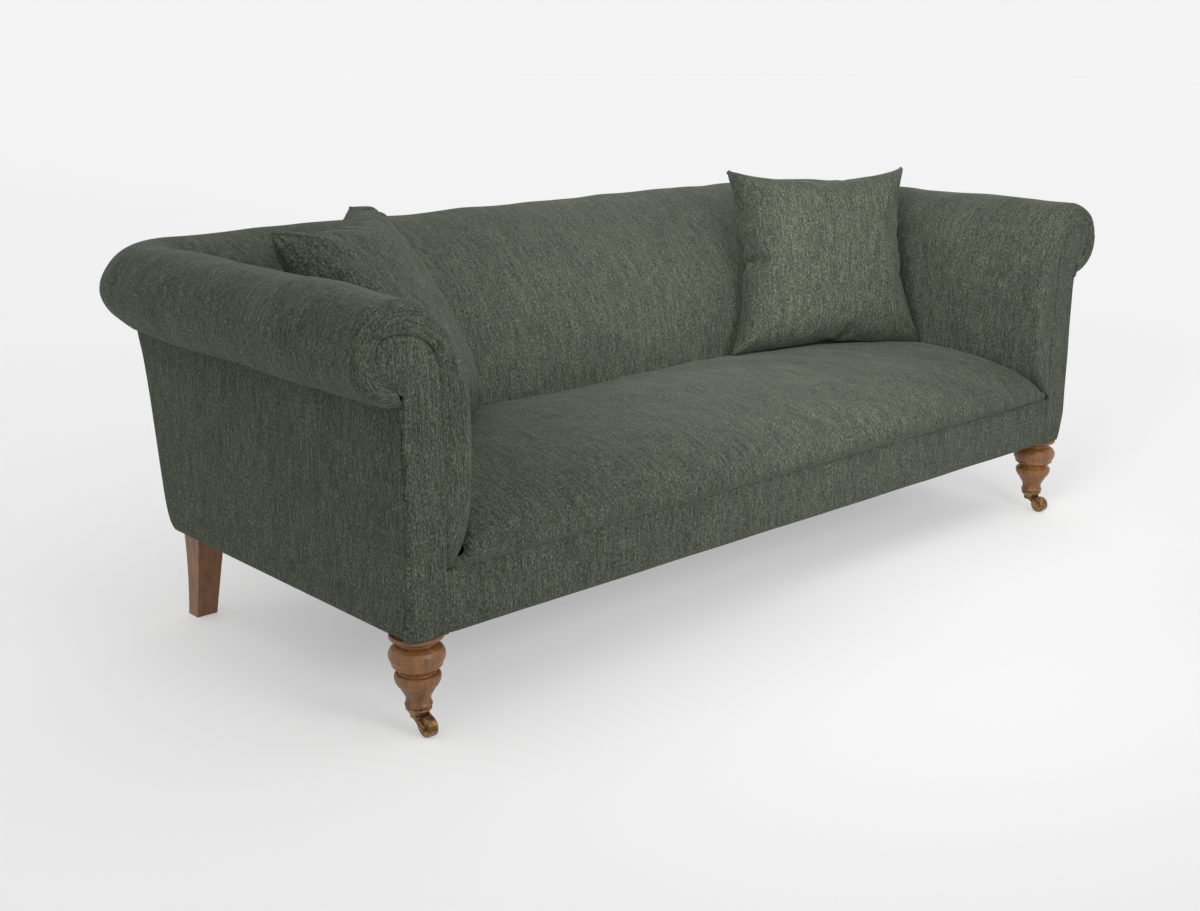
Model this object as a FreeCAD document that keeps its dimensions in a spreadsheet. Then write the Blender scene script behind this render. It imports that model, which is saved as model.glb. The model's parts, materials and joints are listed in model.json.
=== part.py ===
import FreeCAD, Part
import Sketcher
import math
import os

# English roll arm sofa. Millimetres, +Z up, +X to the viewer's right, front of the sofa towards -Y.
# Origin on the floor, under the middle of the whole sofa's box.
# In the numbers below, depths are counted from the face of the front border towards the back; every
# placement and sketch takes depth_origin away, which brings them into the sofa's own frame.

V = FreeCAD.Vector
doc = FreeCAD.newDocument("roll_arm_sofa")
dims = doc.addObject("Spreadsheet::Sheet", "dims")
CELLS = [
    ("base_half", 1025.0),        # half width over the outside arm fabric
    ("depth_origin", 515.5),      # front border face to the middle of the box
    ("base_height", 193.0),       # floor to the underside of the upholstery
    ("frame_base", 194.2),        # underside of the wooden frame
    ("border_top", 311.0),        # seam between the front border and the seat
    ("rail_top", 300.0),
    ("rail_thick", 35.0),
    ("frame_front", 12.0),        # front face of the wooden frame
    ("frame_side", 1017.0),       # outer face of the wooden frame
    ("cover_thick", 2.5),
    ("arm_end", 860.0),           # depth at which the arm roll starts to turn the corner
    ("arm_start", -12.0),         # padded lip in front of the border
    ("roll_centre_side", 1030.0),
    ("roll_centre_back", 960.0),
    ("roll_centre_height", 709.0),
    ("roll_radius", 91.0),
    ("corner_side", 930.0),       # axis about which the roll turns the rear corner
    ("seat_half", 879.0),
    ("leg_side", 980.0),
    ("leg_front", 48.0),
    ("plate_thick", 2.0),
    ("stud_radius", 4.0),
    ("stud_length", 44.0),
    ("caster_trail", 27.0),
    ("wheel_radius", 19.2),
    ("wheel_width", 22.0),
    ("axle_radius", 3.0),
    ("wheel_bore", 3.05),
    ("pintle_radius", 4.0),
    ("fork_bore", 4.05),
    ("strap_wide", 50.0),
    ("strap_thick", 1.8),
    ("spring_wire", 1.9),
    ("spring_pitch", 24.0),
    ("tie_radius", 1.5),
    ("hessian_thick", 1.5),
    ("hessian_height", 311.5),
    ("pad_base", 313.2),
]
for n, (alias, value) in enumerate(CELLS, 1):
    dims.set("A%d" % n, alias)
    dims.set("B%d" % n, str(value))
    dims.setAlias("B%d" % n, alias)
doc.recompute()
D = {alias: float(dims.get(alias)) for alias, _ in CELLS}
YO = D["depth_origin"]
PARTS = []                        # the objects that are written, in order
SIDES = (("left", -1), ("right", 1))


def keep(obj, label):
    obj.Label = label
    PARTS.append(obj)
    return obj


def bind(obj, prop, expr):
    obj.setExpression(prop, str(expr))


def box(label, x, y, z, length, width, height, kept=True):
    """A block placed by its low corner; every argument is a formula on the sheet."""
    b = doc.addObject("Part::Box", label)
    for prop, e in (("Length", length), ("Width", width), ("Height", height),
                    ("Placement.Base.x", x), ("Placement.Base.y", "(%s) - dims.depth_origin" % y),
                    ("Placement.Base.z", z)):
        bind(b, prop, e)
    b.Label = label
    return keep(b, label) if kept else b


def cylinder(label, radius, height, x, y, z, kept=True, axis="z"):
    c = doc.addObject("Part::Cylinder", label)
    if axis == "x":
        c.Placement = FreeCAD.Placement(V(), FreeCAD.Rotation(V(0, 1, 0), 90))
    if axis == "y":
        c.Placement = FreeCAD.Placement(V(), FreeCAD.Rotation(V(1, 0, 0), -90))
    for prop, e in (("Radius", radius), ("Height", height), ("Placement.Base.x", x),
                    ("Placement.Base.y", "(%s) - dims.depth_origin" % y), ("Placement.Base.z", z)):
        bind(c, prop, e)
    return keep(c, label) if kept else c


def group(label, items):
    """Separate solids of one kind in one node."""
    g = doc.addObject("Part::Compound", label)
    g.Links = items
    return keep(g, label)


def cut(label, base, tools, kept=True):
    if len(tools) == 1:
        tool = tools[0]
    else:
        tool = doc.addObject("Part::MultiFuse", label + "_tool")
        tool.Shapes = tools
    c = doc.addObject("Part::Cut", label)
    c.Base, c.Tool = base, tool
    return keep(c, label) if kept else c


def plane_of(body, role):
    return next(f for f in body.Origin.OriginFeatures if f.Role == role)


def sketch(body, role, geometry, offset=0.0, tag="sketch"):
    """Closed profile on one of the body's own origin planes, moved along the plane's normal."""
    s = body.newObject("Sketcher::SketchObject", "%s_%s" % (body.Name, tag))
    s.AttachmentSupport = [(plane_of(body, role), "")]
    s.MapMode = "FlatFace"
    s.AttachmentOffset = FreeCAD.Placement(V(0, 0, offset), FreeCAD.Rotation())
    for g in geometry:
        s.addGeometry(g, False)
    ends = []
    for i in range(len(geometry)):
        if isinstance(geometry[i], Part.Circle):
            return s
        ends.append([(1, s.getPoint(i, 1)), (2, s.getPoint(i, 2))])
    links = []
    for i in range(len(geometry)):
        j = (i + 1) % len(geometry)
        for pa, a in ends[i]:
            for pb, b in ends[j]:
                if (a - b).Length < 1e-4 and (len(geometry) > 2 or not links or links[0][1] != pa):
                    links.append((i, pa, j, pb))
                    break
            else:
                continue
            break
    for i, pa, j, pb in links:
        s.addConstraint(Sketcher.Constraint("Coincident", i, pa, j, pb))
    return s


def new_body(name):
    b = doc.addObject("PartDesign::Body", name)
    b.Label = name
    return b


def pad(body, profile, expr, reverse=False, tag="pad"):
    p = body.newObject("PartDesign::Pad", "%s_%s" % (body.Name, tag))
    p.Profile = profile
    p.Reversed = reverse
    bind(p, "Length", expr)
    body.Tip = p
    return p


def pocket(body, profile, expr, reverse=False, tag="pocket"):
    p = body.newObject("PartDesign::Pocket", "%s_%s" % (body.Name, tag))
    p.Profile = profile
    p.Reversed = reverse
    bind(p, "Length", expr)
    body.Tip = p
    return p


def revolve(body, profile, angle=360.0):
    r = body.newObject("PartDesign::Revolution", body.Name + "_revolution")
    r.Profile = profile
    r.ReferenceAxis = (profile, ["V_Axis"])
    r.Angle = angle
    body.Tip = r
    return r


def lines(points, close=True):
    pts = [V(p[0], p[1], 0) for p in points]
    out = [Part.LineSegment(pts[i], pts[i + 1]) for i in range(len(pts) - 1)]
    if close:
        out.append(Part.LineSegment(pts[-1], pts[0]))
    return out


def spline(points):
    c = Part.BSplineCurve()
    c.interpolate([V(p[0], p[1], 0) for p in points])
    return c


def arc(a, b, c):
    return Part.Arc(V(a[0], a[1], 0), V(b[0], b[1], 0), V(c[0], c[1], 0))


def offset(points, d):
    """Points moved by d to the right of the path they follow."""
    out = []
    for i, p in enumerate(points):
        a = points[max(i - 1, 0)]
        b = points[min(i + 1, len(points) - 1)]
        t = (b[0] - a[0], b[1] - a[1])
        n = math.hypot(*t)
        out.append((p[0] + d * t[1] / n, p[1] - d * t[0] / n))
    return out


# ---------------------------------------------------------------- profiles
RC, RB, RH, RR = D["roll_centre_side"], D["roll_centre_back"], D["roll_centre_height"], D["roll_radius"]

# Arm: inner face and shoulder, from the tuck beside the seat up to the top of the roll (distance from
# the middle, height).
ARM = [(893, 331), (890, 372), (884, 408), (880.5, 450), (879.6, 520), (881, 600), (886, 655),
       (898, 706), (916, 742), (941, 769), (970, 788), (1000, 797.5), (RC, RH + RR)]

# Back: inner face from the seat to the top of the roll (depth, height).
BACK = [(598, 394), (599, 450), (605, 500), (625, 560), (660, 620), (708, 678), (768, 728),
        (838, 768), (902, 791), (RB, RH + RR)]

# Seat: from the border seam over the nose to the tuck under the back, at the middle and beside the arms.
SEAT_MID = [(-2, 311.4), (-13, 321), (-19, 334), (-18, 350), (-9, 367), (11, 386), (45, 404), (95, 420),
            (170, 432), (260, 438), (360, 438), (460, 430), (560, 416), (590, 410)]
SEAT_END = [(-2, 311.4), (-11, 319), (-16, 330), (-14, 343), (-5, 355), (13, 368), (45, 382), (95, 396),
            (170, 409), (260, 416), (360, 417), (460, 413), (560, 406), (590, 402)]

# Front facing and the wooden scroll board behind it.
FACING = [(1066, 734.5), (1048, 740.5), (1028, 738.5), (1007, 732.5), (993, 725), (971, 705), (959, 681),
          (950, 650), (945.5, 600)]
FACING_HOOK = [(1075.5, 713), (1070, 688), (1050, 662), (1031, 642), (1025, 617)]


def radial(p, r, a):
    return (p[0] + r * math.cos(math.radians(a)), p[1] + r * math.sin(math.radians(a)))


def roll_section(path, centre, inset, inner):
    """Closed outline: offset face curve, the roll about its centre, then the straight inner edges."""
    face = offset(path[:-1], inset) + [(centre[0], centre[1] + RR - inset)]
    r = RR - inset
    top, side, low = radial(centre, r, 90), radial(centre, r, 0), radial(centre, r, -90)
    geo = [spline(face), arc(top, side, low)]
    pts = [low] + inner(face[0], low)
    geo += lines(pts + [face[0]], close=False)
    return geo


# ---------------------------------------------------------------- wooden frame
box("front_rail", "-942.5", "dims.frame_front", "dims.frame_base", "1885", "dims.rail_thick",
    "dims.rail_top - dims.frame_base")
box("back_rail", "-981.7", "812", "dims.frame_base", "1963.4", "dims.rail_thick", "dims.rail_top - dims.frame_base")
box("back_top_rail", "-981.7", "869.4", "655", "1963.4", "80.6", "35")
box("back_tack_rail", "-981.7", "752.5", "340", "1963.4", "dims.rail_thick", "40")
for side, s in SIDES:
    low = "982" if s > 0 else "-1017"
    box("side_rail_" + side, low, "47.3", "dims.frame_base", "dims.rail_thick", "687",
        "dims.rail_top - dims.frame_base")
for label, z, wide, high, length in (("arm_tack_rails", "335", "dims.rail_thick", "35", "700"),
                                     ("arm_top_rails", "690.3", "63", "21.7", "852.7")):
    group(label, [box("%s_%s" % (label, side), "982" if s > 0 else "-982 - %s" % wide, "47.3", z, wide, length, high,
                      kept=False) for side, s in SIDES])
group("seat_cross_rails", [box("seat_cross_rail_%d" % i, str(x), "47.3", "dims.frame_base", "dims.rail_thick",
                               "764.4", "66", kept=False) for i, x in enumerate((-357.5, 322.5))])
uprights = []
for i, x in enumerate((-397.5, -17.5, 362.5)):
    b = new_body("back_upright_%d" % i)
    k = sketch(b, "YZ_Plane", lines([(y - YO, z) for y, z in ((814, 300.3), (846, 300.3), (908, 654.7), (876, 654.7))]),
               offset=x)
    pad(b, k, "dims.rail_thick")
    uprights.append(b)
group("back_uprights", uprights)

# Back posts: raked boards whose front edge carries the back webbing.
POST = [(735, 194.2), (745, 300), (752, 345), (869, 690), (949.7, 690), (948.7, 617), (915.7, 467), (848.7, 194.2)]
for side, s in SIDES:
    b = new_body("back_post_" + side)
    k = sketch(b, "YZ_Plane", lines([(y - YO, z) for y, z in POST]), offset=982.0 if s > 0 else -1017.0)
    pad(b, k, "dims.rail_thick")
    keep(b, "back_post_" + side)

# Scroll boards at the front of the arms.
SCROLL = [(944, 194.2), (952, 405), (955.5, 600), (960, 648), (969, 677), (980, 697), (999, 714), (1011, 721),
          (1030, 727), (1048, 729.5), (1059, 725), (1064.5, 711), (1059, 692), (1040, 668), (1022, 645),
          (1017, 618), (1017, 194.2)]
for side, s in SIDES:
    b = new_body("arm_front_post_" + side)
    k = sketch(b, "XZ_Plane", lines([(s * x, z) for x, z in SCROLL]), offset=-(D["frame_front"] - YO))
    pad(b, k, "dims.rail_thick", reverse=True)
    keep(b, "arm_front_post_" + side)

# Corner blocks glued and screwed inside the base.
blocks = []
for i, (sx, y0, dy) in enumerate(((-1, 47.3, 1), (1, 47.3, 1), (-1, 811.7, -1), (1, 811.7, -1))):
    b = new_body("corner_block_%d" % i)
    x1 = 981.7
    k = sketch(b, "XY_Plane", lines([(sx * x1, y0 - YO), (sx * (x1 - 95), y0 - YO), (sx * x1, y0 + 95 * dy - YO)]),
               offset=D["frame_base"])
    pad(b, k, "55")
    blocks.append(b)
group("corner_blocks", blocks)

# Screws through the blocks into the rails.
screws = []
for i, (sx, y0, dy) in enumerate(((-1, 47.3, 1), (1, 47.3, 1), (-1, 811.7, -1), (1, 811.7, -1))):
    for j, z in enumerate((210.0, 235.0)):
        c = doc.addObject("Part::Cylinder", "frame_screw_%d_%d" % (i, j))
        c.Radius = 2.5
        c.Height = 58
        a = V(sx * (981.7 - 30), y0 + 30 * dy - YO, z)
        d = V(sx, 0, 0) if j else V(0, -dy, 0)
        c.Placement = FreeCAD.Placement(a, FreeCAD.Rotation(V(0, 0, 1), d))
        screws.append(c)
group("frame_screws", screws)

# ---------------------------------------------------------------- springing and inner fabric
def sinuous(length, pitch, reach, wire):
    """Zigzag spring in its own XY plane along +X: straight cross runs joined by half turns."""
    r = pitch / 2.0
    edges = []
    n = int(length // pitch)
    x = 0.0
    edges.append(Part.makeLine(V(-r, 0, 0), V(x, 0, 0)))
    edges = [Part.makeLine(V(x, 0, 0), V(x, reach, 0))]
    sgn = 1
    for i in range(n):
        a, b = V(x, sgn * reach, 0), V(x + pitch, sgn * reach, 0)
        edges.append(Part.Arc(a, V(x + r, sgn * (reach + r), 0), b).toShape())
        x += pitch
        end = 0 if i == n - 1 else -sgn * reach
        edges.append(Part.makeLine(b, V(x, end, 0)))
        sgn = -sgn
    path = Part.Wire(edges)
    ring = Part.Wire(Part.makeCircle(wire, V(0, 0, 0), V(0, 1, 0)))
    sweep = path.makePipeShell([ring], True, False)
    return sweep, x


spring, run = sinuous(744.0, D["spring_pitch"], 12.0, D["spring_wire"])
start = 47.3 + (764.4 - run) / 2.0
springs = []
for i in range(14):
    x = -822.0 + i * (1644.0 / 13)
    c = spring.copy()
    c.Placement = FreeCAD.Placement(V(x, start - YO, 306.4), FreeCAD.Rotation(V(0, 0, 1), 90))
    springs.append(c)
f = doc.addObject("Part::Feature", "seat_springs")
f.Shape = Part.makeCompound(springs)
f.Placement = FreeCAD.Placement(V(0, 0, 0), FreeCAD.Rotation())
keep(f, "seat_springs")

clips = []
for i in range(14):
    x = -822.0 + i * (1644.0 / 13)
    for j, (y, w) in enumerate((("dims.frame_front + 8", "27"), ("812", "27"))):
        clips.append(box("clip_%d_%d" % (i, j), "%.3f" % (x - 9), y, "dims.rail_top", "18", w, "3.6", kept=False))
group("spring_clips", clips)
group("spring_tie_wires", [cylinder("tie_%d" % i, "dims.tie_radius", "1720", "-860", str(y), "309.9", kept=False,
                                    axis="x") for i, y in enumerate((200.0, 430.0, 660.0))])
box("seat_hessian", "-885", "dims.frame_front + 4", "dims.hessian_height", "1770", "716", "dims.hessian_thick")

group("arm_webbing", [box("arm_strap_%s_%d" % (side, i), "980" if s > 0 else "-981.8", str(70 + 86 * i), "337",
                          "dims.strap_thick", "dims.strap_wide", "374", kept=False)
                      for side, s in SIDES for i in range(8)])

# Back webbing: straps on the line between the lower rail and the top rail.
lean = math.degrees(math.atan2(112.0, 297.0))
straps = []
for i in range(11):
    c = doc.addObject("Part::Box", "back_strap_%d" % i)
    bind(c, "Length", "dims.strap_wide")
    bind(c, "Width", "dims.strap_thick")
    c.Height = 330
    c.Placement = FreeCAD.Placement(V(-860 + i * 167.0, 742.5 - YO, 362), FreeCAD.Rotation(V(1, 0, 0), -lean))
    straps.append(c)
group("back_webbing", straps)

# ---------------------------------------------------------------- seat
def seat_profile(points, inset, base):
    top = offset(points, inset) if inset else list(points)
    top = [(max(y, -60), z) for y, z in top]
    return top


def seat_form(name, inset, base, front, rear):
    """Solid lofted between five profiles across the sofa, crowned in the middle."""
    b = new_body(name)
    ks = []
    for j, (x, m) in enumerate(((-1, 0.0), (-0.8, 0.55), (0, 1.0), (0.8, 0.55), (1, 0.0))):
        pts = [(a[0] + (c[0] - a[0]) * m, a[1] + (c[1] - a[1]) * m) for a, c in zip(SEAT_END, SEAT_MID)]
        pts = offset(pts, inset) if inset else pts
        face = [(y - YO, z) for y, z in pts]
        tail = [(597.0 - inset - YO, 388.0 - inset), (rear - YO, 388.0 - inset), (rear - YO, base), (front - YO, base)]
        geo = [spline(face)] + lines([face[-1]] + tail + [face[0]], close=False)
        ks.append(sketch(b, "YZ_Plane", geo, offset=x * (D["seat_half"] - inset), tag="section_%d" % j))
    loft = b.newObject("PartDesign::AdditiveLoft", name + "_loft")
    loft.Profile = ks[0]
    loft.Sections = ks[1:]
    b.Tip = loft
    return b


seat_outer = seat_form("seat_outer_form", 0.0, 311.4, 11.7, 735.0)
seat_inner = seat_form("seat_inner_form", D["cover_thick"], 305.0, 11.7, 741.0)
seat_core = seat_form("seat_core_form", D["cover_thick"] + 0.2, D["pad_base"], 14.0, 734.0)
cut("seat_cover", seat_outer, [box("seat_under", "-1000", "11.8", "300", "2000", "760", "13", kept=False),
                               box("seat_core_room", "-876.4", "-40", "300", "1752.8", "800", "13", kept=False),
                               seat_inner])
keep(seat_core, "seat_pad")

# ---------------------------------------------------------------- arms
# Rear edge of the outside panels, from the hem to the roll (depth, height).
REAR = [(868.0, 193.0), (883.0, 213.0), (896.0, 243.0), (908.0, 307.0), (917.0, 371.0), (927.0, 435.0),
        (938.0, 499.0), (953.0, 561.0), (965.0, 617.2)]


def arm_inner(x_in):
    def f(first, low):
        return [(1017.3, low[1]), (1017.3, 689.9), (1045.3, 689.9), (1045.3, 712.4), (979.6, 712.4),
                (979.6, first[1])]
    return f


facing_loop = [FACING_HOOK[0]] + FACING + [(942.0, 405), (941.7, 193)]


def facing_outline(s, grow):
    """Scroll outline of the arm's front: straight sides, arch above, hook under the roll."""
    arch = [(1075.5 + grow, 713)] + [(x - (grow if x < 1000 else 0), z + (grow if z > 700 else 0)) for x, z in FACING]
    hook = [(1025 + grow, 617), (1031 + grow, 642), (1050 + grow, 662), (1070 + grow, 688), (1075.5 + grow, 713)]
    geo = [spline([(s * x, z) for x, z in arch])]
    geo += lines([(s * arch[-1][0], arch[-1][1]), (s * (941.8 - grow), 420), (s * (941.8 - grow), 193),
                  (s * (1025 + grow), 193), (s * (1025 + grow), 617)], close=False)
    geo.append(spline([(s * x, z) for x, z in hook]))
    return geo


for side, s in SIDES:
    def mirror(geo_points):
        return [(s * x, z) for x, z in geo_points]

    centre = (s * RC, RH)

    def arm_section(inset, shell):
        face = offset(ARM[:-1], inset) + [(RC, RH + RR - inset)]
        r = RR - inset
        top, side_pt, low = (RC, RH + r), (RC + r, RH), (RC, RH - r)
        geo = [spline([(s * x, z) for x, z in face]),
               arc((s * top[0], top[1]), (s * side_pt[0], side_pt[1]), (s * low[0], low[1]))]
        if shell:
            face2 = offset(ARM[:-1], inset + D["cover_thick"]) + [(RC, RH + RR - inset - D["cover_thick"])]
            r2 = r - D["cover_thick"]
            geo += lines([(s * low[0], low[1]), (s * 1017.3, low[1]), (s * 1017.3, RH - r2), (s * RC, RH - r2)],
                         close=False)
            geo.append(arc((s * RC, RH - r2), (s * (RC + r2), RH), (s * RC, RH + r2)))
            geo.append(spline([(s * x, z) for x, z in reversed(face2)]))
            geo += lines([(s * face2[0][0], face2[0][1]), (s * face[0][0], face[0][1])], close=False)
        else:
            pts = [low] + arm_inner(0)(face[0], low) + [face[0]]
            geo += lines([(s * x, z) for x, z in pts], close=False)
        return geo

    for label, inset, shell in (("arm_cover_" + side, 0.0, True), ("arm_pad_" + side, D["cover_thick"] + 0.2, False)):
        b = new_body(label + "_form")
        k = sketch(b, "XZ_Plane", arm_section(inset, shell), offset=-(D["arm_start"] - YO))
        pad(b, k, "dims.arm_end - dims.arm_start", reverse=True)
        doc.recompute()
        before = b.Shape.Volume
        k2 = sketch(b, "XZ_Plane", facing_outline(s, 0.4), offset=-(-30 - YO), tag="front")
        pocket(b, k2, "77.3", reverse=True)
        doc.recompute()
        if not 0 < b.Shape.Volume < before - 1.0:
            pocket_obj = b.Tip
            pocket_obj.Reversed = False
            doc.recompute()
        assert 0 < b.Shape.Volume < before - 1.0, label
        # room for the lower back rail, which runs through to the back posts
        cut(label, b, [box(label + "_rail_room", "870" if s > 0 else "-982", "735", "320", "112", "130", "74",
                           kept=False)])

    # Padded facing over the scroll board.
    b = new_body("arm_facing_" + side)
    k = sketch(b, "XZ_Plane", facing_outline(s, 0.0), offset=-(-2.0 - YO))
    pad(b, k, "13.7", reverse=True)
    keep(b, "arm_facing_" + side)

    # Outside arm panel: board, thin padding and fabric.
    b = new_body("outside_arm_" + side)
    pts = [(12.0, 193.0)] + [(y - 0.5, z) for y, z in REAR] + [(12.0, 617.2)]
    k = sketch(b, "YZ_Plane", lines([(y - YO, z) for y, z in pts]), offset=1017.3 if s > 0 else -D["base_half"])
    pad(b, k, "dims.base_half - dims.frame_side - 0.3")
    keep(b, "outside_arm_" + side)

box("front_border", "-941.2", "-2", "dims.base_height", "1882.4", "13.7", "dims.border_top - dims.base_height")

# Outside back panel.
b = new_body("outside_back")
pts = REAR + [(y - 8.0, z) for y, z in reversed(REAR)]
k = sketch(b, "YZ_Plane", lines([(y - YO, z) for y, z in pts]), offset=-1017.0)
pad(b, k, "2 * dims.frame_side")
keep(b, "outside_back")

# ---------------------------------------------------------------- back
def back_section(inset, shell):
    face = offset(BACK[:-1], -inset)
    face = [(y + 0.0, z) for y, z in offset(BACK[:-1], inset)] + [(RB, RH + RR - inset)]
    r = RR - inset
    geo = [spline([(y - YO, z) for y, z in face]),
           arc((RB - YO, RH + r), (RB + r - YO, RH), (RB - YO, RH - r))]
    if shell:
        t = D["cover_thick"]
        face2 = offset(BACK[:-1], inset + t) + [(RB, RH + RR - inset - t)]
        r2 = r - t
        geo += lines([(RB - YO, RH - r), (950.3 - YO, RH - r), (950.3 - YO, RH - r2), (RB - YO, RH - r2)], close=False)
        geo.append(arc((RB - YO, RH - r2), (RB + r2 - YO, RH), (RB - YO, RH + r2)))
        geo.append(spline([(y - YO, z) for y, z in reversed(face2)]))
        geo += lines([(face2[0][0] - YO, face2[0][1]), (face[0][0] - YO, face[0][1])], close=False)
    else:
        pts = [(RB, RH - r), (950.3, RH - r), (950.3, 690.4), (863.5, 690.4), (751.5, 393.6), (face[0][0], 393.6)]
        pts = [(y - YO, z) for y, z in pts]
        if abs(face[0][1] - 393.6) > 1e-6:
            pts.append((face[0][0] - YO, face[0][1]))
        geo += lines(pts, close=False)
    return geo


# Envelopes of the arms, a little larger, keep the back clear of them.
envelopes = []
for side, s in SIDES:
    b = new_body("arm_envelope_" + side)
    face = offset(ARM[:-1], -0.3) + [(RC, RH + RR + 0.3)]
    geo = [spline([(s * x, z) for x, z in face])]
    geo += lines([(s * RC, RH + RR + 0.3), (s * 1200, RH + RR + 0.3), (s * 1200, face[0][1]), (s * face[0][0], face[0][1])],
                 close=False)
    k = sketch(b, "XZ_Plane", geo, offset=-(-60 - YO))
    pad(b, k, "dims.arm_end + 60.3", reverse=True)
    envelopes.append(b)

for label, inset, shell in (("back_cover", 0.0, True), ("back_pad", D["cover_thick"] + 0.2, False)):
    b = new_body(label + "_form")
    k = sketch(b, "YZ_Plane", back_section(inset, shell), offset=-D["corner_side"] + 0.3)
    pad(b, k, "2 * dims.corner_side - 0.6")
    lower = [box("%s_trim_%s" % (label, side), "dims.seat_half" if s > 0 else "-1000", "560", "300",
                 "1000 - dims.seat_half", "dims.arm_end - 559.7", "32", kept=False) for side, s in SIDES]
    cut(label, b, envelopes + lower)

# Rear corners of the roll: the roll turned a quarter about an upright axis.
for side, s in SIDES:
    for label, inset, shell in (("corner_roll_cover_" + side, 0.0, True), ("corner_roll_pad_" + side,
                                                                          D["cover_thick"] + 0.2, False)):
        r = RR - inset
        a = RC - D["corner_side"]
        face = [(0.0, 782.0 - inset), (30.0, 790.0 - inset), (62.0, 796.5 - inset), (a, RH + r)]
        geo = [spline(face), arc((a, RH + r), (a + r, RH), (a, RH - r))]
        if shell:
            t = D["cover_thick"]
            r2 = r - t
            face2 = [(x, z - t) for x, z in face]
            geo += lines([(a, RH - r), (88.0, RH - r), (88.0, RH - r2), (a, RH - r2)], close=False)
            geo.append(arc((a, RH - r2), (a + r2, RH), (a, RH + r2)))
            geo.append(spline(list(reversed(face2))))
            geo += lines([face2[0], face[0]], close=False)
        else:
            geo += lines([(a, RH - r), (0.0, RH - r), (0.0, face[0][1])], close=False)
        f = new_body(label + "_form")
        k = sketch(f, "XZ_Plane", geo)
        rv = revolve(f, k, 89.6)
        doc.recompute()
        # the quarter runs from the side of the sofa to its back
        turn = 0.2 if s > 0 else 90.2
        f.Placement = FreeCAD.Placement(V(s * D["corner_side"], D["arm_end"] - YO, 0),
                                        FreeCAD.Rotation(V(0, 0, 1), turn))
        doc.recompute()
        bb = f.Shape.BoundBox
        want_low = D["arm_end"] - YO - 1
        if bb.YMin < want_low:
            f.Placement = FreeCAD.Placement(V(s * D["corner_side"], D["arm_end"] - YO, 0),
                                            FreeCAD.Rotation(V(0, 0, 1), turn + 90))
            doc.recompute()
            bb = f.Shape.BoundBox
        assert bb.YMin > want_low and (bb.XMax > 1100 if s > 0 else bb.XMin < -1100), (label, bb)
        x0 = "dims.corner_side - 1" if s > 0 else "-dims.frame_side - 0.3"
        tools = [box(label + "_post_room", x0, "dims.arm_end - 1", "600", "dims.frame_side + 1.3 - dims.corner_side",
                     "91.3", "90.4", kept=False),
                 box(label + "_rail_room", "dims.corner_side - 1" if s > 0 else "-1045.4", "dims.arm_end - 1", "689.9",
                     "1046.4 - dims.corner_side", "41.4", "22.5", kept=False)]
        cut(label, f, tools)

# ---------------------------------------------------------------- underside
holes = []
LEGS = [(-980.0, 48.0), (980.0, 48.0), (-984.0, 808.0), (984.0, 808.0)]
sheet_body = new_body("dust_cover")
k = sketch(sheet_body, "XY_Plane", lines([(-1012, 12.3 - YO), (1012, 12.3 - YO), (1012, 846 - YO), (-1012, 846 - YO)]),
           offset=D["base_height"])
pad(sheet_body, k, "1")
doc.recompute()
for i, (x, y) in enumerate(LEGS):
    k = sketch(sheet_body, "XY_Plane", lines([(x - 52, y - 52 - YO), (x + 52, y - 52 - YO), (x + 52, y + 52 - YO),
                                              (x - 52, y + 52 - YO)]), offset=D["base_height"] + 5, tag="opening_%d" % i)
    pocket(sheet_body, k, "10", tag="opening_cut_%d" % i)
keep(sheet_body, "dust_cover")

plates = []
for i, (x, y) in enumerate(LEGS):
    xx, yy = ((x / abs(x)) * 968, 52) if y < 400 else ((x / abs(x)) * 972, 800)
    p = box("leg_plate_blank_%d" % i, "%g" % (xx - 39), "%g" % (yy - 38), "dims.frame_base - dims.plate_thick", "78",
            "76", "dims.plate_thick", kept=False)
    c = cylinder("leg_plate_hole_%d" % i, "dims.stud_radius + 0.05", "10", "%g" % x, "%g" % y, "188", kept=False)
    plates.append(cut("leg_plate_%d" % i, p, [c], kept=False))
group("leg_plates", plates)
group("leg_studs", [cylinder("leg_stud_%d" % i, "dims.stud_radius", "dims.stud_length", "%g" % x, "%g" % y,
                             "dims.frame_base - 0.1 - dims.stud_length", kept=False) for i, (x, y) in enumerate(LEGS)])

# ---------------------------------------------------------------- front legs
LEG = [(4.05, 149.9), (4.05, 192.1), (48.5, 192.1), (50.0, 190.3), (50.0, 186.0), (48.2, 184.0), (43.0, 182.6), (36.5, 180.0),
       (34.0, 176.6), (34.6, 173.2), (40.5, 170.2), (46.6, 165.6), (50.6, 159.4), (52.0, 152.4), (51.0, 145.6),
       (47.6, 139.4), (46.0, 136.6), (46.6, 134.6), (45.8, 132.0), (39.5, 126.6), (34.6, 122.6), (33.4, 120.2),
       (34.8, 118.2), (39.6, 116.6), (42.4, 113.6), (43.0, 109.4), (42.2, 104.4), (40.4, 99.4), (38.2, 95.6),
       (36.8, 93.4), (34.2, 92.4), (33.4, 90.0), (30.4, 84.0), (26.4, 77.4), (23.6, 71.6), (22.8, 66.6),
       (23.4, 61.6), (25.2, 58.4), (25.6, 55.8), (24.8, 53.2), (22.8, 51.8), (16.4, 51.6), (16.4, 43.4),
       (0.0, 43.4), (0.0, 149.9)]
CUP = [(0.0, 43.1), (16.5, 43.1), (16.5, 51.3), (22.9, 51.3), (24.2, 50.2), (24.2, 47.2), (22.6, 45.6), (20.9, 42.6), (18.2, 38.6),
       (16.2, 37.0), (4.0, 37.0), (4.0, 30.3), (6.0, 30.3), (6.0, 28.6), (4.6, 27.8), (0.0, 27.8)]
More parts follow.
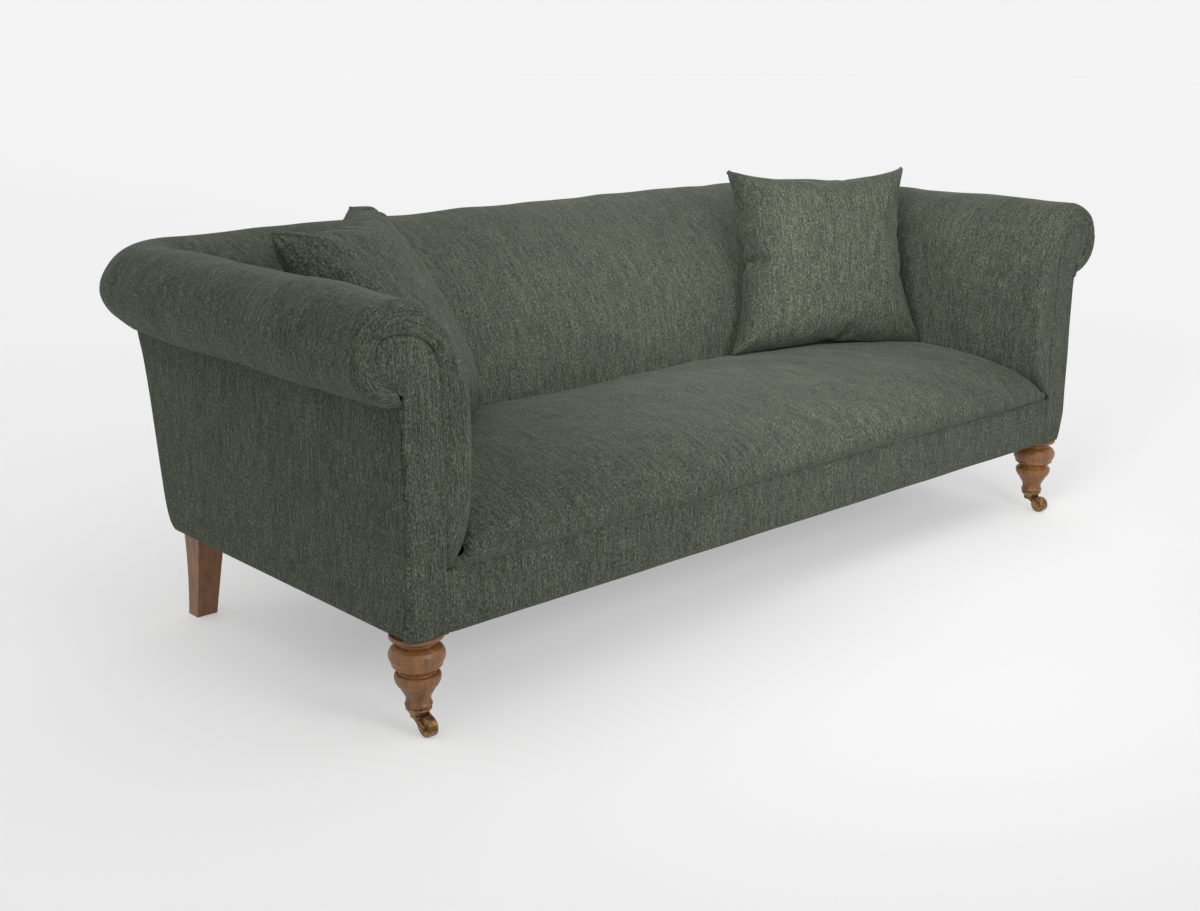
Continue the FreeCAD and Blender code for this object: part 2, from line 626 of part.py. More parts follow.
WHEEL = [(3.05, -11.0), (14.5, -11.0), (15.4, -9.6), (17.6, -9.6), (18.9, -8.6), (19.2, -6.5), (19.2, 6.5),
         (18.9, 8.6), (17.6, 9.6), (15.4, 9.6), (14.5, 11.0), (3.05, 11.0)]
for side, s in SIDES:
    x, y = s * D["leg_side"], D["leg_front"]
    for label, prof in (("front_leg_" + side, LEG), ("caster_cup_" + side, CUP)):
        b = new_body(label)
        k = sketch(b, "XZ_Plane", lines(prof))
        revolve(b, k)
        bind(b, "Placement.Base.x", "%d * dims.leg_side" % s)
        bind(b, "Placement.Base.y", "dims.leg_front - dims.depth_origin")
        keep(b, label)

    # Caster fork: a round boss on the pin and two cheeks that carry the axle.
    b = new_body("caster_fork_" + side)
    t = D["caster_trail"]
    w = 15.4
    k = sketch(b, "XY_Plane", [Part.LineSegment(V(-w, -9.0, 0), V(w, -9.0, 0)), Part.LineSegment(V(w, -9.0, 0), V(w, 2.0, 0)),
                               arc((w, 2.0), (0, 17.4), (-w, 2.0)), Part.LineSegment(V(-w, 2.0, 0), V(-w, -9.0, 0))],
               offset=30.7)
    pad(b, k, "6.0")
    for j, x0 in enumerate((-15.4, 11.6)):
        cheek = [Part.LineSegment(V(2.0, 36.7, 0), V(2.0, 31.0, 0)), arc((2.0, 31.0), (-9.0, 27.0), (-18.4, 16.0)),
                 arc((-18.4, 16.0), (-27.0, 11.4), (-33.5, 17.4)), arc((-33.5, 17.4), (-33.6, 22.4), (-29.0, 26.4)),
                 arc((-29.0, 26.4), (-20.0, 32.0), (-12.0, 36.7)), Part.LineSegment(V(-12.0, 36.7, 0), V(2.0, 36.7, 0))]
        k = sketch(b, "YZ_Plane", cheek, offset=x0, tag="cheek_%d" % j)
        pad(b, k, "3.8", tag="cheek_pad_%d" % j)
    doc.recompute()
    vol = b.Shape.Volume
    k = sketch(b, "XY_Plane", [Part.Circle(V(0, 0, 0), V(0, 0, 1), D["fork_bore"])], offset=45.0, tag="bore")
    pocket(b, k, "30", tag="bore_cut")
    k = sketch(b, "YZ_Plane", [Part.Circle(V(-t, D["wheel_radius"], 0), V(0, 0, 1), D["axle_radius"])], offset=30.0,
               tag="axle")
    pocket(b, k, "60", tag="axle_cut")
    doc.recompute()
    assert b.Shape.Volume < vol - 200, b.Shape.Volume
    bind(b, "Placement.Base.x", "%d * dims.leg_side" % s)
    bind(b, "Placement.Base.y", "dims.leg_front - dims.depth_origin")
    keep(b, "caster_fork_" + side)

    cylinder("caster_axle_" + side, "dims.axle_radius", "33.2", "%d * dims.leg_side - 16.6" % s,
             "dims.leg_front - dims.caster_trail", "dims.wheel_radius", axis="x")
    b = new_body("caster_wheel_" + side)
    k = sketch(b, "XZ_Plane", lines(WHEEL))
    revolve(b, k)
    b.Placement = FreeCAD.Placement(V(0, 0, 0), FreeCAD.Rotation(V(0, 1, 0), 90))
    bind(b, "Placement.Base.x", "%d * dims.leg_side" % s)
    bind(b, "Placement.Base.y", "dims.leg_front - dims.caster_trail - dims.depth_origin")
    bind(b, "Placement.Base.z", "dims.wheel_radius")
    keep(b, "caster_wheel_" + side)

# ---------------------------------------------------------------- rear legs
# Square legs, raked back and tapered: lofted between three square sections.
for side, s in SIDES:
    b = new_body("rear_leg_" + side)
    ks = []
    for j, (z, x0, x1, y0, y1) in enumerate(((0.0, 959.0, 1006.0, 823.0, 861.0), (95.0, 956.0, 1009.0, 800.0, 846.0),
                                             (192.1, 952.0, 1014.0, 778.0, 838.0))):
        ks.append(sketch(b, "XY_Plane", lines([(s * x0, y0 - YO), (s * x1, y0 - YO), (s * x1, y1 - YO), (s * x0, y1 - YO)]),
                         offset=z, tag="section_%d" % j))
    loft = b.newObject("PartDesign::AdditiveLoft", b.Name + "_loft")
    loft.Profile = ks[0]
    loft.Sections = ks[1:]
    b.Tip = loft
    doc.recompute()
    vol = b.Shape.Volume
    k = sketch(b, "XY_Plane", [Part.Circle(V(s * 984.0, 808.0 - YO, 0), V(0, 0, 1), 4.05)], offset=192.1, tag="bore")
    pocket(b, k, "42.2")
    doc.recompute()
    assert b.Shape.Volume < vol - 1000
    keep(b, "rear_leg_" + side)

# ---------------------------------------------------------------- scatter cushions
def pillow(corners, half_thick, waist, fullness):
    """Knife edge cushion: two crowned faces that share one concave-sided seam."""
    bl, br, tr, tl = [V(p[0], p[1] - YO, p[2]) for p in corners]
    n = (br - bl).cross(tl - bl)
    n.normalize()
    count = 15
    u = [math.sin(math.pi * (i / (count - 1.0) - 0.5)) for i in range(count)]
    u[0], u[-1] = -1.0, 1.0
    faces = []
    for sgn in (1, -1):
        grid = []
        for a in u:
            row = []
            for c in u:
                a2 = a * (1 - waist * (1 - c * c))
                c2 = c * (1 - waist * (1 - a * a))
                fa, fc = (a2 + 1) / 2, (c2 + 1) / 2
                p = bl * ((1 - fa) * (1 - fc)) + br * (fa * (1 - fc)) + tr * (fa * fc) + tl * ((1 - fa) * fc)
                tk = half_thick * max(0.0, 1 - a * a) ** fullness * max(0.0, 1 - c * c) ** fullness
                row.append(p + n * (sgn * tk))
            grid.append(row)
        s = Part.BSplineSurface()
        knots = [float(i) for i in range(count - 2)]
        mults = [4] + [1] * (count - 4) + [4]
        s.buildFromPolesMultsKnots(grid, mults, mults, knots, knots, False, False, 3, 3)
        faces.append(s.toShape())
    shell = Part.Compound(faces)
    shell.sewShape(0.001)
    solid = Part.makeSolid(shell if shell.ShapeType == "Shell" else shell.Shells[0])
    if solid.Volume < 0:
        solid.reverse()
    return solid, n


def shrink(corners, k):
    c = [sum(p[i] for p in corners) / 4.0 for i in range(3)]
    return [tuple(c[i] + (p[i] - c[i]) * k for i in range(3)) for p in corners]


CUSHIONS = {
    "left": [(-821.0, 267.0, 425.0), (-451.0, 526.0, 422.0), (-596.0, 769.0, 851.0), (-941.0, 505.0, 850.0)],
    "right": [(374.0, 556.0, 420.0), (868.0, 352.0, 420.0), (868.0, 430.0, 864.0), (473.0, 681.0, 864.0)],
}
CUSHION_HALF = {"left": 92.0, "right": 104.0}
for side, s in SIDES:
    cs = CUSHIONS[side]
    t = CUSHION_HALF[side]
    outer, normal = pillow(cs, t, 0.11, 0.55)
    hollow, _ = pillow(shrink(cs, 0.955), t - 3.5, 0.11, 0.55)
    core, _ = pillow(shrink(cs, 0.95), t - 4.2, 0.11, 0.55)
    f = doc.addObject("Part::Feature", "cushion_cover_" + side)
    f.Shape = outer.cut(hollow)
    f.Placement = FreeCAD.Placement(V(0, 0, 0), FreeCAD.Rotation())
    keep(f, "cushion_cover_" + side)
    f = doc.addObject("Part::Feature", "cushion_pad_" + side)
    f.Shape = core
    f.Placement = FreeCAD.Placement(V(0, 0, 0), FreeCAD.Rotation())
    keep(f, "cushion_pad_" + side)

# ---------------------------------------------------------------- check and write
doc.recompute()
bad = [o.Name for o in doc.Objects if "Invalid" in o.State or "Error" in o.State]
if bad:
    raise SystemExit("failed objects: " + ", ".join(bad))
for o in PARTS:
    sh = o.Shape
    if sh.isNull() or not sh.isValid() or not sh.Solids:
        raise SystemExit("bad shape: " + o.Label)
os.makedirs("parts", exist_ok=True)
labels = [o.Label for o in PARTS]
assert len(set(labels)) == len(labels) and len(labels) <= 60, len(labels)
for o in PARTS:
    bb = o.Shape.BoundBox
    print("%-26s solids %3d  vol %.3e  x %.1f..%.1f y %.1f..%.1f z %.1f..%.1f" % (
        o.Label, len(o.Shape.Solids), o.Shape.Volume, bb.XMin, bb.XMax, bb.YMin, bb.YMax, bb.ZMin, bb.ZMax))
    o.Shape.exportStep("parts/%s.step" % o.Label)
print(len(labels), "parts")
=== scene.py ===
import json
import math

import bpy
import numpy as np
from mathutils import Matrix, Vector


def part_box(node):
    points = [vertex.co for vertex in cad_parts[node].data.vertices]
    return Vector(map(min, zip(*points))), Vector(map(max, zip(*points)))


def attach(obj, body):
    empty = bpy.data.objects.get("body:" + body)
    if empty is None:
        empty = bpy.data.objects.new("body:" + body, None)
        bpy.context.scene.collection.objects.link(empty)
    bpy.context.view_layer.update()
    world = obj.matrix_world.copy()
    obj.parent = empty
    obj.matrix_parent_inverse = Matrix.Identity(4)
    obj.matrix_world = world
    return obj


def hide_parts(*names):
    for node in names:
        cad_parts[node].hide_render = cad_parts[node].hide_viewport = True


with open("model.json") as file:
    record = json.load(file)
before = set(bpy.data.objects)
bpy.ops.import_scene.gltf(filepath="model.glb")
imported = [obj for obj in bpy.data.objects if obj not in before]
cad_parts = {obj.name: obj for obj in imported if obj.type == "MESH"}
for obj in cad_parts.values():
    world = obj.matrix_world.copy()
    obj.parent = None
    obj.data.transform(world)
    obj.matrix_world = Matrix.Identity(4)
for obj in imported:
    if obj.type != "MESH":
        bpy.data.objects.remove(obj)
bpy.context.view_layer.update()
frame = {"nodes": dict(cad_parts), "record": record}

YO = 515.5          # depth of the row frame's origin behind the front border, mm
NODES = frame["nodes"]


# ================================================================ numbers shared with the CAD part (mm)
# x is the distance from the middle, y the depth behind the front border, z the height.
RC, RBK, RH, RR = 1030.0, 960.0, 709.0, 91.0     # roll centres (arm, back), height and radius
ARM = [(893, 331), (890, 372), (884, 408), (880.5, 450), (879.6, 520), (881, 600), (886, 655),
       (898, 706), (916, 742), (941, 769), (970, 788), (1000, 797.5), (1030, 800)]
BACK = [(597.5, 331), (598, 394), (599, 450), (605, 500), (625, 560), (660, 620), (708, 678), (768, 728),
        (838, 768), (902, 791), (960, 800)]
SEAT_MID = [(-2, 311.4), (-13, 321), (-19, 334), (-18, 350), (-9, 367), (11, 386), (45, 404), (95, 420),
            (170, 432), (260, 438), (360, 438), (460, 430), (560, 416), (590, 410), (604, 398)]
SEAT_END = [(-2, 311.4), (-11, 319), (-16, 330), (-14, 343), (-5, 355), (13, 368), (45, 382), (95, 396),
            (170, 409), (260, 416), (360, 417), (460, 413), (560, 406), (590, 402), (604, 392)]


# ================================================================ small maths kit
def to_row(P):
    """Millimetres with y from the front border, to metres in the row frame."""
    P = np.array(P, float) * 0.001
    P[..., 1] -= YO * 0.001
    return P


def dense(points, per=24):
    """A smooth line through the points (Catmull-Rom on chord lengths), with many points."""
    P = np.array(points, float)
    d = np.r_[0, np.cumsum(np.sqrt(np.maximum(np.linalg.norm(np.diff(P, axis=0), axis=1), 1e-9)))]
    T = np.zeros_like(P)
    a, b = (d[1:-1] - d[:-2])[:, None], (d[2:] - d[1:-1])[:, None]
    T[1:-1] = ((P[1:-1] - P[:-2]) / a * b + (P[2:] - P[1:-1]) / b * a) / (a + b)
    T[0] = 2 * (P[1] - P[0]) / (d[1] - d[0]) - T[1]
    T[-1] = 2 * (P[-1] - P[-2]) / (d[-1] - d[-2]) - T[-2]
    out = []
    for i in range(len(P) - 1):
        h = d[i + 1] - d[i]
        t = np.linspace(0, 1, per, endpoint=False)[:, None]
        out.append((2 * t**3 - 3 * t**2 + 1) * P[i] + (t**3 - 2 * t**2 + t) * h * T[i]
                   + (-2 * t**3 + 3 * t**2) * P[i + 1] + (t**3 - t**2) * h * T[i + 1])
    return np.vstack(out + [P[-1:]])


def lengths(P):
    return np.r_[0, np.cumsum(np.linalg.norm(np.diff(P, axis=0), axis=1))]


def resample(P, n, spread=None):
    """n points along a line; spread gives their places from 0 to 1."""
    L = lengths(P)
    at = (np.linspace(0, 1, n) if spread is None else np.asarray(spread)) * L[-1]
    return np.stack([np.interp(at, L, P[:, k]) for k in range(P.shape[1])], 1)


def smooth01(t):
    t = np.clip(t, 0, 1)
    return t * t * (3 - 2 * t)


def bump(t, at, width):
    return np.exp(-((t - at) / width) ** 2)


def ripples(seed, P, size, count=18):
    """A smooth seeded noise of about unit strength, from sines, over points of any dimension."""
    r = np.random.default_rng(seed)
    P = np.asarray(P, float)
    out = np.zeros(P.shape[:-1])
    for _ in range(count):
        k = r.normal(size=P.shape[-1])
        k *= 2 * math.pi / size * r.uniform(0.55, 1.6) / np.linalg.norm(k)
        out += np.sin(P @ k + r.uniform(0, 2 * math.pi))
    return out / math.sqrt(count / 2)


def grid_normals(P):
    n = np.cross(np.gradient(P, axis=0), np.gradient(P, axis=1))
    return n / np.maximum(np.linalg.norm(n, axis=2, keepdims=True), 1e-9)


# ================================================================ materials
def tree(name):
    m = bpy.data.materials.new(name)
    m.use_nodes = True
    t = m.node_tree
    t.nodes.clear()
    out = t.nodes.new("ShaderNodeOutputMaterial")
    bs = t.nodes.new("ShaderNodeBsdfPrincipled")
    t.links.new(bs.outputs[0], out.inputs[0])
    return m, t, bs


def link(t, a, b):
    t.links.new(a, b)


def socket(t, value, target):
    """Links an output, or sets a number, on an input."""
    if hasattr(value, "is_output"):
        link(t, value, target)
    else:
        target.default_value = value


def math_node(t, op, a, b=0.0, c=None, clamp=False):
    n = t.nodes.new("ShaderNodeMath")
    n.operation = op
    n.use_clamp = clamp
    socket(t, a, n.inputs[0])
    socket(t, b, n.inputs[1])
    if c is not None:
        socket(t, c, n.inputs[2])
    return n.outputs[0]


def noise(t, vector, scale, detail=3.0, rough=0.55, distortion=0.0):
    n = t.nodes.new("ShaderNodeTexNoise")
    link(t, vector, n.inputs["Vector"])
    n.inputs["Scale"].default_value = scale
    n.inputs["Detail"].default_value = detail
    n.inputs["Roughness"].default_value = rough
    n.inputs["Distortion"].default_value = distortion
    return n.outputs["Fac"]


def scaled(t, vector, s, offset=(0, 0, 0)):
    n = t.nodes.new("ShaderNodeMapping")
    link(t, vector, n.inputs["Vector"])
    n.inputs["Scale"].default_value = s
    n.inputs["Location"].default_value = offset
    return n.outputs[0]


def ramp(t, fac, stops, mode="EASE"):
    n = t.nodes.new("ShaderNodeValToRGB")
    n.color_ramp.interpolation = mode
    link(t, fac, n.inputs[0])
    el = n.color_ramp.elements
    while len(el) > 1:
        el.remove(el[-1])
    el[0].position, el[0].color = stops[0][0], (*stops[0][1], 1)
    for p, c in stops[1:]:
        e = el.new(p)
        e.color = (*c, 1)
    return n.outputs[0]


def mix(t, fac, a, b, mode="MIX"):
    n = t.nodes.new("ShaderNodeMix")
    n.data_type = "RGBA"
    n.blend_type = mode
    socket(t, fac, n.inputs[0])
    for v, s in ((a, n.inputs[6]), (b, n.inputs[7])):
        if hasattr(v, "is_output"):
            link(t, v, s)
        else:
            s.default_value = (*v, 1)
    return n.outputs[2]


def remap(t, value, a, b, c, d):
    n = t.nodes.new("ShaderNodeMapRange")
    link(t, value, n.inputs[0])
    for i, v in enumerate((a, b, c, d)):
        n.inputs[1 + i].default_value = v
    return n.outputs[0]


def bump_node(t, height, distance, strength=1.0, normal=None):
    n = t.nodes.new("ShaderNodeBump")
    n.inputs["Distance"].default_value = distance
    n.inputs["Strength"].default_value = strength
    link(t, height, n.inputs["Height"])
    if normal is not None:
        link(t, normal, n.inputs["Normal"])
    return n.outputs[0]


def coords(t, kind="Object"):
    n = t.nodes.new("ShaderNodeTexCoord")
    return n.outputs[kind]


def cloth_uv(t):
    n = t.nodes.new("ShaderNodeUVMap")
    n.uv_map = "cloth"
    return n.outputs[0]


def upholstery_material(name="upholstery_cloth", lift=0.72, shift=(0.0, 0.0, 0.0)):
    """Heathered chenille: fine broken streaks along the warp, a soft mottle, a small weave."""
    m, t, bs = tree(name)
    uv = cloth_uv(t)
    warp = t.nodes.new("ShaderNodeVectorMath")
    warp.operation = "ADD"
    link(t, uv, warp.inputs[0])
    wob = t.nodes.new("ShaderNodeTexNoise")
    link(t, scaled(t, uv, (9, 5, 1), shift), wob.inputs["Vector"])
    wob.inputs["Scale"].default_value = 1.0
    amp = t.nodes.new("ShaderNodeVectorMath")
    amp.operation = "MULTIPLY_ADD"
    link(t, wob.outputs["Color"], amp.inputs[0])
    amp.inputs[1].default_value = (0.012, 0.012, 0.0)
    amp.inputs[2].default_value = (-0.006, -0.006, 0.0)
    link(t, amp.outputs[0], warp.inputs[1])
    w = warp.outputs[0]
    grain = noise(t, scaled(t, w, (430, 165, 1), shift), 1.0, 1.0, 0.5)
    fine = noise(t, scaled(t, w, (360, 40, 1), shift), 1.0, 2.0, 0.6)
    streak = noise(t, scaled(t, w, (150, 15, 1), shift), 1.0, 3.0, 0.6)
    broad = noise(t, scaled(t, w, (52, 8, 1), shift), 1.0, 2.0, 0.55)
    mottle = noise(t, scaled(t, uv, (11, 5, 1), shift), 1.0, 2.0, 0.5)
    flecks = noise(t, scaled(t, uv, (700, 330, 1), shift), 1.0, 1.0, 0.5)
    a = math_node(t, "MULTIPLY", grain, 0.40)
    a = math_node(t, "MULTIPLY_ADD", fine, 0.30, a)
    a = math_node(t, "MULTIPLY_ADD", streak, 0.17, a)
    a = math_node(t, "MULTIPLY_ADD", broad, 0.08, a)
    a = math_node(t, "MULTIPLY_ADD", mottle, 0.05, a)
    k = lift
    col = ramp(t, a, [(0.40, (0.026 * k, 0.031 * k, 0.027 * k)), (0.47, (0.051 * k, 0.058 * k, 0.044 * k)),
                      (0.53, (0.081 * k, 0.091 * k, 0.064 * k)), (0.61, (0.150 * k, 0.162 * k, 0.108 * k))], "LINEAR")
    fl = remap(t, flecks, 0.36, 0.64, 0.70, 1.30)
    mul = t.nodes.new("ShaderNodeVectorMath")
    mul.operation = "SCALE"
    link(t, col, mul.inputs[0])
    link(t, fl, mul.inputs["Scale"])
    link(t, mul.outputs[0], bs.inputs["Base Color"])
    # weave: warp and weft threads about 1.3 mm apart, broken by the fibre noise
    def threads(direction, scale):
        n = t.nodes.new("ShaderNodeTexWave")
        n.bands_direction = direction
        n.inputs["Scale"].default_value = scale
        n.inputs["Distortion"].default_value = 1.6
        n.inputs["Detail"].default_value = 1.0
        n.inputs["Detail Scale"].default_value = 2.0
        link(t, w, n.inputs["Vector"])
        return n.outputs["Fac"]
    weave = math_node(t, "ADD", threads("X", 240.0), math_node(t, "MULTIPLY", threads("Y", 190.0), 0.6))
    h = math_node(t, "MULTIPLY_ADD", weave, 0.25, math_node(t, "MULTIPLY", flecks, 0.9))
    n1 = bump_node(t, h, 0.0005, 0.55)
    n2 = bump_node(t, streak, 0.0012, 0.35, n1)
    link(t, n2, bs.inputs["Normal"])
    link(t, remap(t, a, 0.35, 0.65, 0.97, 0.80), bs.inputs["Roughness"])
    bs.inputs["Specular IOR Level"].default_value = 0.22
    bs.inputs["Sheen Weight"].default_value = 0.07
    bs.inputs["Sheen Roughness"].default_value = 0.45
    bs.inputs["Sheen Tint"].default_value = (0.75, 0.8, 0.68, 1)
    return m


def wood_material(name, dark, mid, light, rough=0.42, along=2, gloss=0.25):
    m, t, bs = tree(name)
    o = coords(t)
    stretch = [70.0, 70.0, 70.0]
    stretch[along] = 6.0
    fine = [420.0, 420.0, 420.0]
    fine[along] = 18.0
    g = noise(t, scaled(t, o, tuple(stretch)), 1.0, 4.0, 0.6, 0.6)
    pores = noise(t, scaled(t, o, tuple(fine)), 1.0, 2.0, 0.6)
    cloud = noise(t, o, 9.0, 2.0, 0.5)
    a = math_node(t, "MULTIPLY_ADD", g, 0.6, math_node(t, "MULTIPLY", cloud, 0.4))
    col = ramp(t, a, [(0.34, dark), (0.5, mid), (0.66, light)], "EASE")
    p = remap(t, pores, 0.30, 0.55, 0.72, 1.04)
    mul = t.nodes.new("ShaderNodeVectorMath")
    mul.operation = "SCALE"
    link(t, col, mul.inputs[0])
    link(t, p, mul.inputs["Scale"])
    link(t, mul.outputs[0], bs.inputs["Base Color"])
    link(t, remap(t, pores, 0.3, 0.7, rough + 0.12, rough - 0.04), bs.inputs["Roughness"])
    link(t, bump_node(t, pores, 0.0004, 0.35), bs.inputs["Normal"])
    bs.inputs["Coat Weight"].default_value = gloss
    bs.inputs["Coat Roughness"].default_value = 0.3
    return m


def metal_material(name, dark, light, rough, scale=60.0, metallic=1.0, patina=None):
    m, t, bs = tree(name)
    o = coords(t)
    cloud = noise(t, o, scale, 3.0, 0.6, 0.4)
    fine = noise(t, scaled(t, o, (900, 900, 260)), 1.0, 2.0, 0.5)
    stops = [(0.35, dark), (0.62, light)]
    col = ramp(t, cloud, stops, "EASE")
    if patina is not None:
        spots = noise(t, o, scale * 4.5, 3.0, 0.7)
        col = mix(t, remap(t, spots, 0.55, 0.68, 0.0, 0.75), col, patina)
    link(t, col, bs.inputs["Base Color"])
    link(t, remap(t, math_node(t, "MULTIPLY_ADD", fine, 0.4, math_node(t, "MULTIPLY", cloud, 0.6)), 0.35, 0.65,
                  rough - 0.07, rough + 0.12), bs.inputs["Roughness"])
    link(t, bump_node(t, fine, 0.0002, 0.3), bs.inputs["Normal"])
    bs.inputs["Metallic"].default_value = metallic
    return m


def coarse_cloth_material(name, dark, light, pitch, rough=0.9, depth=0.0006):
    """Hessian, webbing, felt and dust cloth, by their thread pitch in metres."""
    m, t, bs = tree(name)
    o = coords(t)
    def threads(direction):
        n = t.nodes.new("ShaderNodeTexWave")
        n.bands_direction = direction
        n.inputs["Scale"].default_value = 0.314 / pitch
        n.inputs["Distortion"].default_value = 0.8
        n.inputs["Detail"].default_value = 2.0
        n.inputs["Detail Scale"].default_value = 1.5
        link(t, o, n.inputs["Vector"])
        return n.outputs["Fac"]
    both = math_node(t, "MULTIPLY", threads("X"), threads("Y"))
    cloud = noise(t, o, 22.0, 4.0, 0.6)
    a = math_node(t, "MULTIPLY_ADD", cloud, 0.6, math_node(t, "MULTIPLY", both, 0.4))
    link(t, ramp(t, a, [(0.25, dark), (0.6, light)]), bs.inputs["Base Color"])
    link(t, remap(t, cloud, 0.3, 0.7, rough + 0.06, rough - 0.08), bs.inputs["Roughness"])
    link(t, bump_node(t, both, depth, 0.5), bs.inputs["Normal"])
    return m


CLOTH = upholstery_material()
LEG_WOOD = wood_material("leg_wood_waxed", (0.080, 0.029, 0.0050), (0.165, 0.062, 0.0110), (0.255, 0.103, 0.0200), 0.44)
FRAME_WOOD = wood_material("frame_wood_planed", (0.36, 0.24, 0.13), (0.50, 0.35, 0.20), (0.62, 0.46, 0.29), 0.6, 0, 0.0)
BRASS = metal_material("antique_brass", (0.135, 0.070, 0.026), (0.33, 0.195, 0.085), 0.40, 75.0, 0.9,
                       (0.075, 0.040, 0.020))
STEEL = metal_material("drawn_steel", (0.30, 0.31, 0.32), (0.52, 0.53, 0.55), 0.35, 30.0)
TIE = metal_material("paper_wrapped_wire", (0.36, 0.31, 0.23), (0.50, 0.44, 0.34), 0.55, 30.0, 0.6)
FELT = coarse_cloth_material("fibre_filling", (0.62, 0.58, 0.50), (0.86, 0.83, 0.76), 0.004, 0.95)
JUTE = coarse_cloth_material("jute_hessian", (0.26, 0.19, 0.11), (0.50, 0.39, 0.25), 0.0025)
WEB = coarse_cloth_material("jute_webbing", (0.22, 0.17, 0.11), (0.45, 0.36, 0.25), 0.0022)
DUST = coarse_cloth_material("dust_cloth_black", (0.012, 0.012, 0.013), (0.035, 0.035, 0.037), 0.0016, 0.92, 0.0003)
BY_SLOT = {"upholstery": CLOTH, "leg_wood": LEG_WOOD, "frame_wood": FRAME_WOOD, "brass": BRASS, "steel": STEEL,
           "tie_wire": TIE, "stuffing": FELT, "hessian": JUTE, "webbing": WEB, "dust_cloth": DUST}
for s in frame["record"]["subparts"]:
    o = NODES[s["node"]]
    o.data.materials.clear()
    o.data.materials.append(BY_SLOT[s["material_slot"]])


# ================================================================ meshes
def make_object(name, verts, faces, mat, uv=None, normals=None):
    me = bpy.data.meshes.new(name)
    me.from_pydata([tuple(p) for p in verts], [], [tuple(int(i) for i in f) for f in faces])
    me.update()
    me.polygons.foreach_set("use_smooth", np.ones(len(me.polygons), bool))
    if uv is not None:
        layer = me.uv_layers.new(name="cloth")
        loops = np.zeros(len(me.loops), np.int32)
        me.loops.foreach_get("vertex_index", loops)
        layer.data.foreach_set("uv", np.asarray(uv, np.float32)[loops].ravel())
    me.materials.append(mat)
    if normals is not None:
        me.normals_split_custom_set_from_vertices([tuple(n) for n in normals])
    ob = bpy.data.objects.new(name, me)
    bpy.context.scene.collection.objects.link(ob)
    return ob


def skin(name, P, uv, mat=CLOTH, thick=2.5, flip=False, normals=None):
    """A sheet of cloth over a grid of points in mm, closed on its inner side and round its rim."""
    n = normals if normals is not None else grid_normals(P) * (-1.0 if flip else 1.0)
    a, b = P.shape[:2]
    idx = np.arange(a * b).reshape(a, b)
    q = np.stack([idx[:-1, :-1], idx[1:, :-1], idx[1:, 1:], idx[:-1, 1:]], -1).reshape(-1, 4)
    if flip:
        q = q[:, ::-1]
    inner = q[:, ::-1] + a * b
    ring = np.r_[idx[0, :], idx[1:, -1], idx[-1, -2::-1], idx[-2:0:-1, 0]]
    nxt = np.roll(ring, -1)
    rim = np.stack([ring, nxt, nxt + a * b, ring + a * b], 1)
    if flip:
        rim = rim[:, ::-1]
    # the ring runs the way that makes the rim face outward when the outer layer isn't flipped
    V = np.vstack([P.reshape(-1, 3), (P - n * thick).reshape(-1, 3)])
    N = np.vstack([n.reshape(-1, 3), -n.reshape(-1, 3)])
    UV = np.vstack([uv.reshape(-1, 2)] * 2)
    return make_object(name, to_row(V), np.vstack([q, inner, rim]), mat, UV, N)


def uv_of(P, u0=0.0, v0=0.0):
    """Cloth coordinates in metres from lengths along a grid: u over the columns, v over the rows."""
    v = np.concatenate([np.zeros((1, P.shape[1])), np.cumsum(np.linalg.norm(np.diff(P, axis=0), axis=2), 0)], 0)
    u = np.concatenate([np.zeros((P.shape[0], 1)), np.cumsum(np.linalg.norm(np.diff(P, axis=1), axis=2), 1)], 1)
    return np.stack([u * 0.001 + u0, v * 0.001 + v0], -1)


def finish_piece(ob, body, nodes):
    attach(ob, body)
    if nodes:
        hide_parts(*nodes)
    return ob


# ---------------------------------------------------------------- arms and back as one draped shell
NI, NO = 92, 150            # samples on the inner faces and round the roll
ROLL_END = 196.0


def by_height(profile):
    d = dense(profile)
    w = np.sqrt(np.maximum(800.0 - d[:, 1], 0))
    o = np.argsort(w)
    return w[o], d[o, 0]


W0 = math.sqrt(800.0 - 331.0)
w = np.linspace(W0, 0, NI)
aw, ax = by_height(ARM)
bw, by = by_height(BACK)
theta = np.radians(np.linspace(0, ROLL_END, NO + 1)[1:])
sec_a = np.r_[np.interp(w, aw, ax), RC + RR * np.sin(theta)]          # |x| of the arm
sec_b = np.r_[np.interp(w, bw, by), RBK + RR * np.sin(theta)]         # y of the back
sec_z = np.r_[800 - w**2, RH + RR * np.cos(theta)]
ANG = np.r_[np.zeros(NI), np.degrees(theta)]
m_ = ((sec_a - 930) + (sec_b - 860)) / 2
sec_r = 5 + 12 * np.logaddexp(0, (m_ - 5) / 12)
sec_r[NI:] = 100 + RR * np.sin(theta)
sec_r[:NI] = np.minimum(sec_r[:NI], 100)
NS = NI + NO

